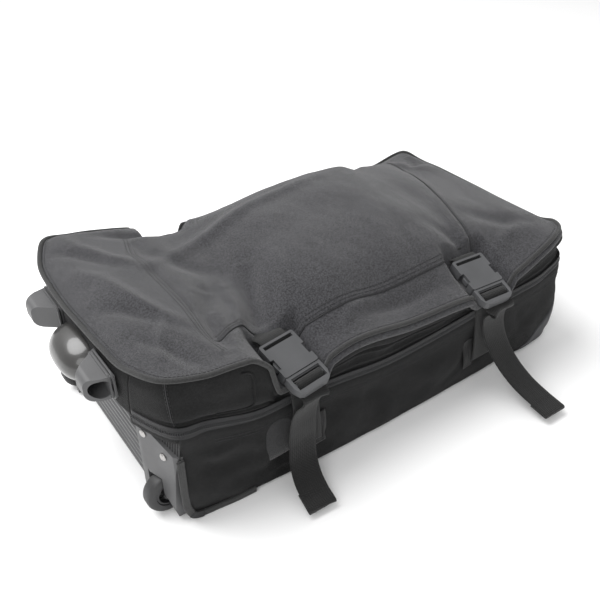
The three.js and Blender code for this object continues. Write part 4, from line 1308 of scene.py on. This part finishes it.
@dataclass
class Strap(Assembly):
    """One compression strap: short upper webbing, buckle, lower webbing and hanging tail."""

    reach: Reach
    side_name: str
    side: float
    width: float = 31.0  # mm
    thickness: float = 1.7  # mm

    @property
    def label(self) -> str:
        """The strap's place, as its CAD nodes say it."""
        return f"{self.reach.value}_{self.side_name}"

    @property
    def x(self) -> float:
        """The strap's middle along the bag at the buckle's bar, in mm."""
        return STRAP_X[0] if self.reach is Reach.WHEEL_END else STRAP_X[1]

    @property
    def turn(self) -> float:
        """How far the buckle is turned on the lid, in radians."""
        return 0.157 if self.reach is Reach.WHEEL_END else -0.05

    def on_buckle(self, along: float, above: float) -> tuple:
        """The point that lies along the buckle from its bar and above its middle plane, for the
        far side."""
        y = along * math.cos(PITCH) + above * math.sin(PITCH)
        z = BAR_Z - along * math.sin(PITCH) + above * math.cos(PITCH)
        return (self.x + math.sin(self.turn) * y, BAR_Y + math.cos(self.turn) * y, z)

    def across(self, share: np.ndarray) -> np.ndarray:
        """The webbing's width direction: as the buckle's at nought and square at one."""
        angle = self.turn * (1 - np.atleast_1d(share))
        return np.stack([np.cos(angle), -np.sin(angle) * self.side, np.zeros(angle.shape)], -1)

    def line(self, points: Sequence, count: int) -> np.ndarray:
        """A smooth line through points given for the far side, turned to this side."""
        return through(np.asarray(points, float) * (1, self.side, 1), count)

    def strip(self, name: str, path: np.ndarray, square: np.ndarray) -> bpy.types.Object:
        """The webbing along a path; square says how far it has turned square at each point."""
        return sweep(f"{name}_{self.label}", path, slab(self.width, self.thickness),
                     self.across(square))

    def upper(self) -> None:
        """From under the pocket's seam over the socket's bar and back under itself."""
        seam = -float(Lid.near_seam(np.array(self.x)))
        start = [(self.x + math.sin(self.turn) * (y - BAR_Y), y, float(lid_height(
            np.array(self.x), np.array(y * self.side))) + 1.3) for y in (seam - 9, seam - 4)]
        points = [*start, self.on_buckle(-4.0, 2.6), self.on_buckle(0.4, 3.0),
                  self.on_buckle(3.2, 1.6), self.on_buckle(4.4, -1.2), self.on_buckle(2.6, -3.6),
                  self.on_buckle(-2.0, -3.4), self.on_buckle(-7.0, -1.6)]
        path = self.line(points, 60)
        piece = self.strip("upper_webbing", path, np.zeros(60))
        self.place(piece, "lid", "webbing", [f"upper_strap_{self.label}"])

    def lower(self) -> None:
        """From its sewn patch on the side up to the plug's first bar."""
        top = self.on_buckle(45.5, -7.5)
        x = top[0]
        points = [(x + 5, 149.4, 34), (x + 4, 149.8, 58), (x + 3, 149.2, 76), (x + 2, 148.8, 94),
                  (x, 149.4, 106), top]
        path = self.line(points, 40)
        piece = self.strip("lower_webbing", path, np.linspace(1, 0.2, 40))
        self.place(piece, "case", "webbing", [f"lower_strap_{self.label}"])

    def tail(self) -> None:
        """Up through the plug's first slot, over its bar and down the second, then loose down the
        side and out over the ground to a folded hem: the path turns back under itself there."""
        plug = [self.on_buckle(v, w) for v, w in ((46, -3.4), (46.2, 0.6), (47.8, 3.6), (50, 4.1),
                                                  (52.2, 3.6), (53.8, 0.6), (54.8, -3.2),
                                                  (58.6, -6.4))]
        if self.reach is Reach.WHEEL_END:
            hanging = [(155, 167, 110), (152, 160, 97), (150.5, 155.6, 84), (149.5, 154, 66),
                       (148.5, 154.6, 44), (145.5, 160, 28), (142, 172, 17), (139, 187, 12),
                       (136.5, 203.5, 10.4)]
        else:
            hanging = [(398.5, 168, 111), (402, 158, 96), (404, 155.4, 84), (408, 159, 62),
                       (411, 172, 42), (413, 184, 31), (414.5, 200, 22), (416, 224, 15),
                       (417, 245, 11.4)]
        path = self.line([*plug, *hanging], 130)
        end = path[-1]
        ahead = unit(path[-1] - path[-4])
        under = np.array([0, 0, -1.0])
        hem = np.array([end + ahead * 1.6 + under * 0.6, end + ahead * 1.8 + under * 1.6,
                        end + ahead * 0.6 + under * 2.3, end - ahead * 10 + under * 2.2,
                        end - ahead * 20 + under * 2.0])
        full = np.concatenate([path, hem])
        square = step_up(np.arange(len(full), dtype=float), 30, 70)
        piece = self.strip("tail_webbing", full, square)
        self.place(piece, f"plug_{self.label}", "webbing", [f"strap_tail_{self.label}"])
        rows = Rows(f"tail_stitching_{self.label}")
        across, up = frames(path, np.array([1.0, 0, 0]), False)
        up = up * np.where(up[:, 2:] < 0, -1.0, 1.0)
        back = path[-14] + up[-14] * 0.9
        for shift in (0.0, 3.0):
            base = back + ahead * shift
            row = base + across[-14] * np.linspace(-13.5, 13.5, 12)[:, None]
            rows.line(row, np.tile(up[-14], (12, 1)), ends=0.5)
        self.place(rows.build(), f"plug_{self.label}", "thread")

    def build(self) -> None:
        """Makes the webbing and dresses the buckle."""
        self.upper()
        self.lower()
        self.tail()
        self.wardrobe.dress("buckle_plastic", *(f"buckle_{part}_{self.label}"
                                                for part in ("socket", "plug", "prongs")))


# ------------------------------------------------------------------------------ hard parts
@dataclass
class WheelEnd(Assembly):
    """Moulded corners, wheels, feet, dome and ribbed panel."""

    def build(self) -> None:
        """Dresses the moulded parts."""
        for name, _ in SIDES:
            self.wardrobe.dress("moulded_plastic", f"wheel_housing_{name}", f"foot_{name}")
            self.wardrobe.dress("wheel_rubber", f"tyre_{name}")
            self.wardrobe.dress("hub_plastic", f"hub_{name}")
            self.wardrobe.dress("bright_steel", f"axle_{name}", f"rivet_{name}_1",
                                f"rivet_{name}_2")
        self.wardrobe.dress("moulded_plastic", "wheel_end_panel")
        self.wardrobe.dress("gloss_plastic", "end_grab_handle")


@dataclass
class HandleEnd(Assembly):
    """Trolley, bezel and carry handle."""

    def carry_handle(self) -> None:
        """A padded sleeve: an oval profile carried along the handle's bow, fuller in its middle."""
        x, z, span = 542.2, 80.0, 52.0
        points = np.array([(x, -span, z + 3), (x, -span, z - 12), (x, -span + 2, z - 24),
                           (x, -span + 10, z - 31), (x, -28, z - 32.4), (x, 0, z - 32.6),
                           (x, 28, z - 32.4), (x, span - 10, z - 31), (x, span - 2, z - 24),
                           (x, span, z - 12), (x, span, z + 3)], float)
        knots = run_along(points)
        at = np.linspace(0, knots[-1], 160)
        path = smooth(knots, points, at)
        size = 0.86 + 0.2 * step_up(at, 38, 60) * step_up(knots[-1] - at, 38, 60)
        sleeve = sweep("carry_handle_sleeve", path, circle(5.6, 20, 0.55), np.cross(
            np.gradient(path, axis=0), (1.0, 0, 0)), scale=size)
        self.place(sleeve, "carry_handle", "body_fabric", ["carry_handle"])

    def build(self) -> None:
        """Makes the sleeve and dresses the trolley."""
        self.carry_handle()
        self.wardrobe.dress("moulded_plastic", "trolley_foot_bracket", "handle_end_bezel",
                            "trolley_grip")
        for name, _ in SIDES:
            self.wardrobe.dress("tube_aluminium", f"trolley_outer_tube_{name}",
                                f"trolley_inner_tube_{name}")
        self.wardrobe.dress("buckle_plastic", "trolley_button")


# ------------------------------------------------------------------------------ the studio
@dataclass(frozen=True)
class Studio:
    """A pale floor, soft light from above and the camera."""

    floor_size: float = 14.0  # m
    lens: float = 45.14  # mm on a 36 mm sensor
    place: tuple = (-0.41385, -0.58927, 0.57588)
    heading: float = 34.126  # degrees from +Y towards +X
    down: float = 34.550
    roll: float = -0.852
    surround: float = 0.70  # strength of the world's white
    lamps: tuple = (("key", (-0.8, 0.8, 2.0), 2.0, 62), ("fill", (-1.4, -1.2, 1.3), 1.4, 14))

    def camera(self) -> None:
        """Looks along the heading, tilted down, and rolled about its line of sight."""
        yaw, pitch, roll = (math.radians(a) for a in (self.heading, self.down, self.roll))
        ahead = np.array([math.sin(yaw) * math.cos(pitch), math.cos(yaw) * math.cos(pitch),
                          -math.sin(pitch)])
        right = np.array([math.cos(yaw), -math.sin(yaw), 0.0])
        up = np.cross(right, ahead)
        x = right * math.cos(roll) + up * math.sin(roll)
        y = up * math.cos(roll) - right * math.sin(roll)
        data = bpy.data.cameras.new("camera")
        data.lens, data.sensor_width = self.lens, 36.0
        data.clip_start, data.clip_end = 0.01, 60.0
        camera = bpy.data.objects.new("camera", data)
        bpy.context.scene.collection.objects.link(camera)
        turn = np.stack([x, y, -ahead], 1)
        camera.matrix_world = Matrix.Translation(self.place) @ Matrix(turn.tolist()).to_4x4()
        bpy.context.scene.camera = camera

    def floor(self) -> None:
        """A flat pale floor just under the bag."""
        half = self.floor_size / 2 / MM
        corners = np.array([(MIDDLE + half * x, half * y, -0.3)
                            for x, y in ((-1, -1), (1, -1), (1, 1), (-1, 1))])
        floor = mesh_object("floor", corners, [(0, 1, 2, 3)])
        nodes = Nodes("floor")
        for socket, value in (("Base Color", (0.93, 0.93, 0.93, 1)), ("Roughness", 0.9),
                              ("Specular IOR Level", 0.1)):
            nodes.shader.inputs[socket].default_value = value
        floor.data.materials.append(nodes.material)

    def lamp(self, name: str, where: Sequence[float], size: float, power: float) -> None:
        """A round soft lamp aimed at the bag's middle."""
        data = bpy.data.lights.new(name, "AREA")
        data.shape, data.size, data.energy = "DISK", size, power
        lamp = bpy.data.objects.new(name, data)
        bpy.context.scene.collection.objects.link(lamp)
        aim = unit(np.array([0.0, 0.0, 0.08]) - np.asarray(where))
        side = unit(np.cross(aim, (0.0, 1.0, 0.05)))
        turn = np.stack([side, np.cross(side, aim), -aim], 1)
        lamp.matrix_world = Matrix.Translation(where) @ Matrix(turn.tolist()).to_4x4()

    def light(self) -> None:
        """A bright even surround and two large lamps, the stronger above and behind to the left."""
        world = bpy.data.worlds.new("surround")
        world.use_nodes = True
        world.node_tree.nodes["Background"].inputs["Color"].default_value = (1, 1, 1, 1)
        world.node_tree.nodes["Background"].inputs["Strength"].default_value = self.surround
        bpy.context.scene.world = world
        for name, where, size, power in self.lamps:
            self.lamp(name, where, size, power)

    def build(self) -> None:
        """Sets up floor, light and camera, with colours shown as they are."""
        self.floor()
        self.light()
        self.camera()
        bpy.context.scene.view_settings.view_transform = "Standard"


def main() -> None:
    """Builds the bag piece by piece."""
    logging.basicConfig(level=logging.INFO, format="%(name)s %(message)s")
    Studio().build()
    wardrobe = Wardrobe()
    Compartment(wardrobe).build()
    Lid(wardrobe).build()
    Zip(wardrobe).build()
    for reach in Reach:
        for side_name, side in SIDES:
            Strap(wardrobe, reach, side_name, side).build()
    WheelEnd(wardrobe).build()
    HandleEnd(wardrobe).build()


if __name__ == "__main__":
    main()
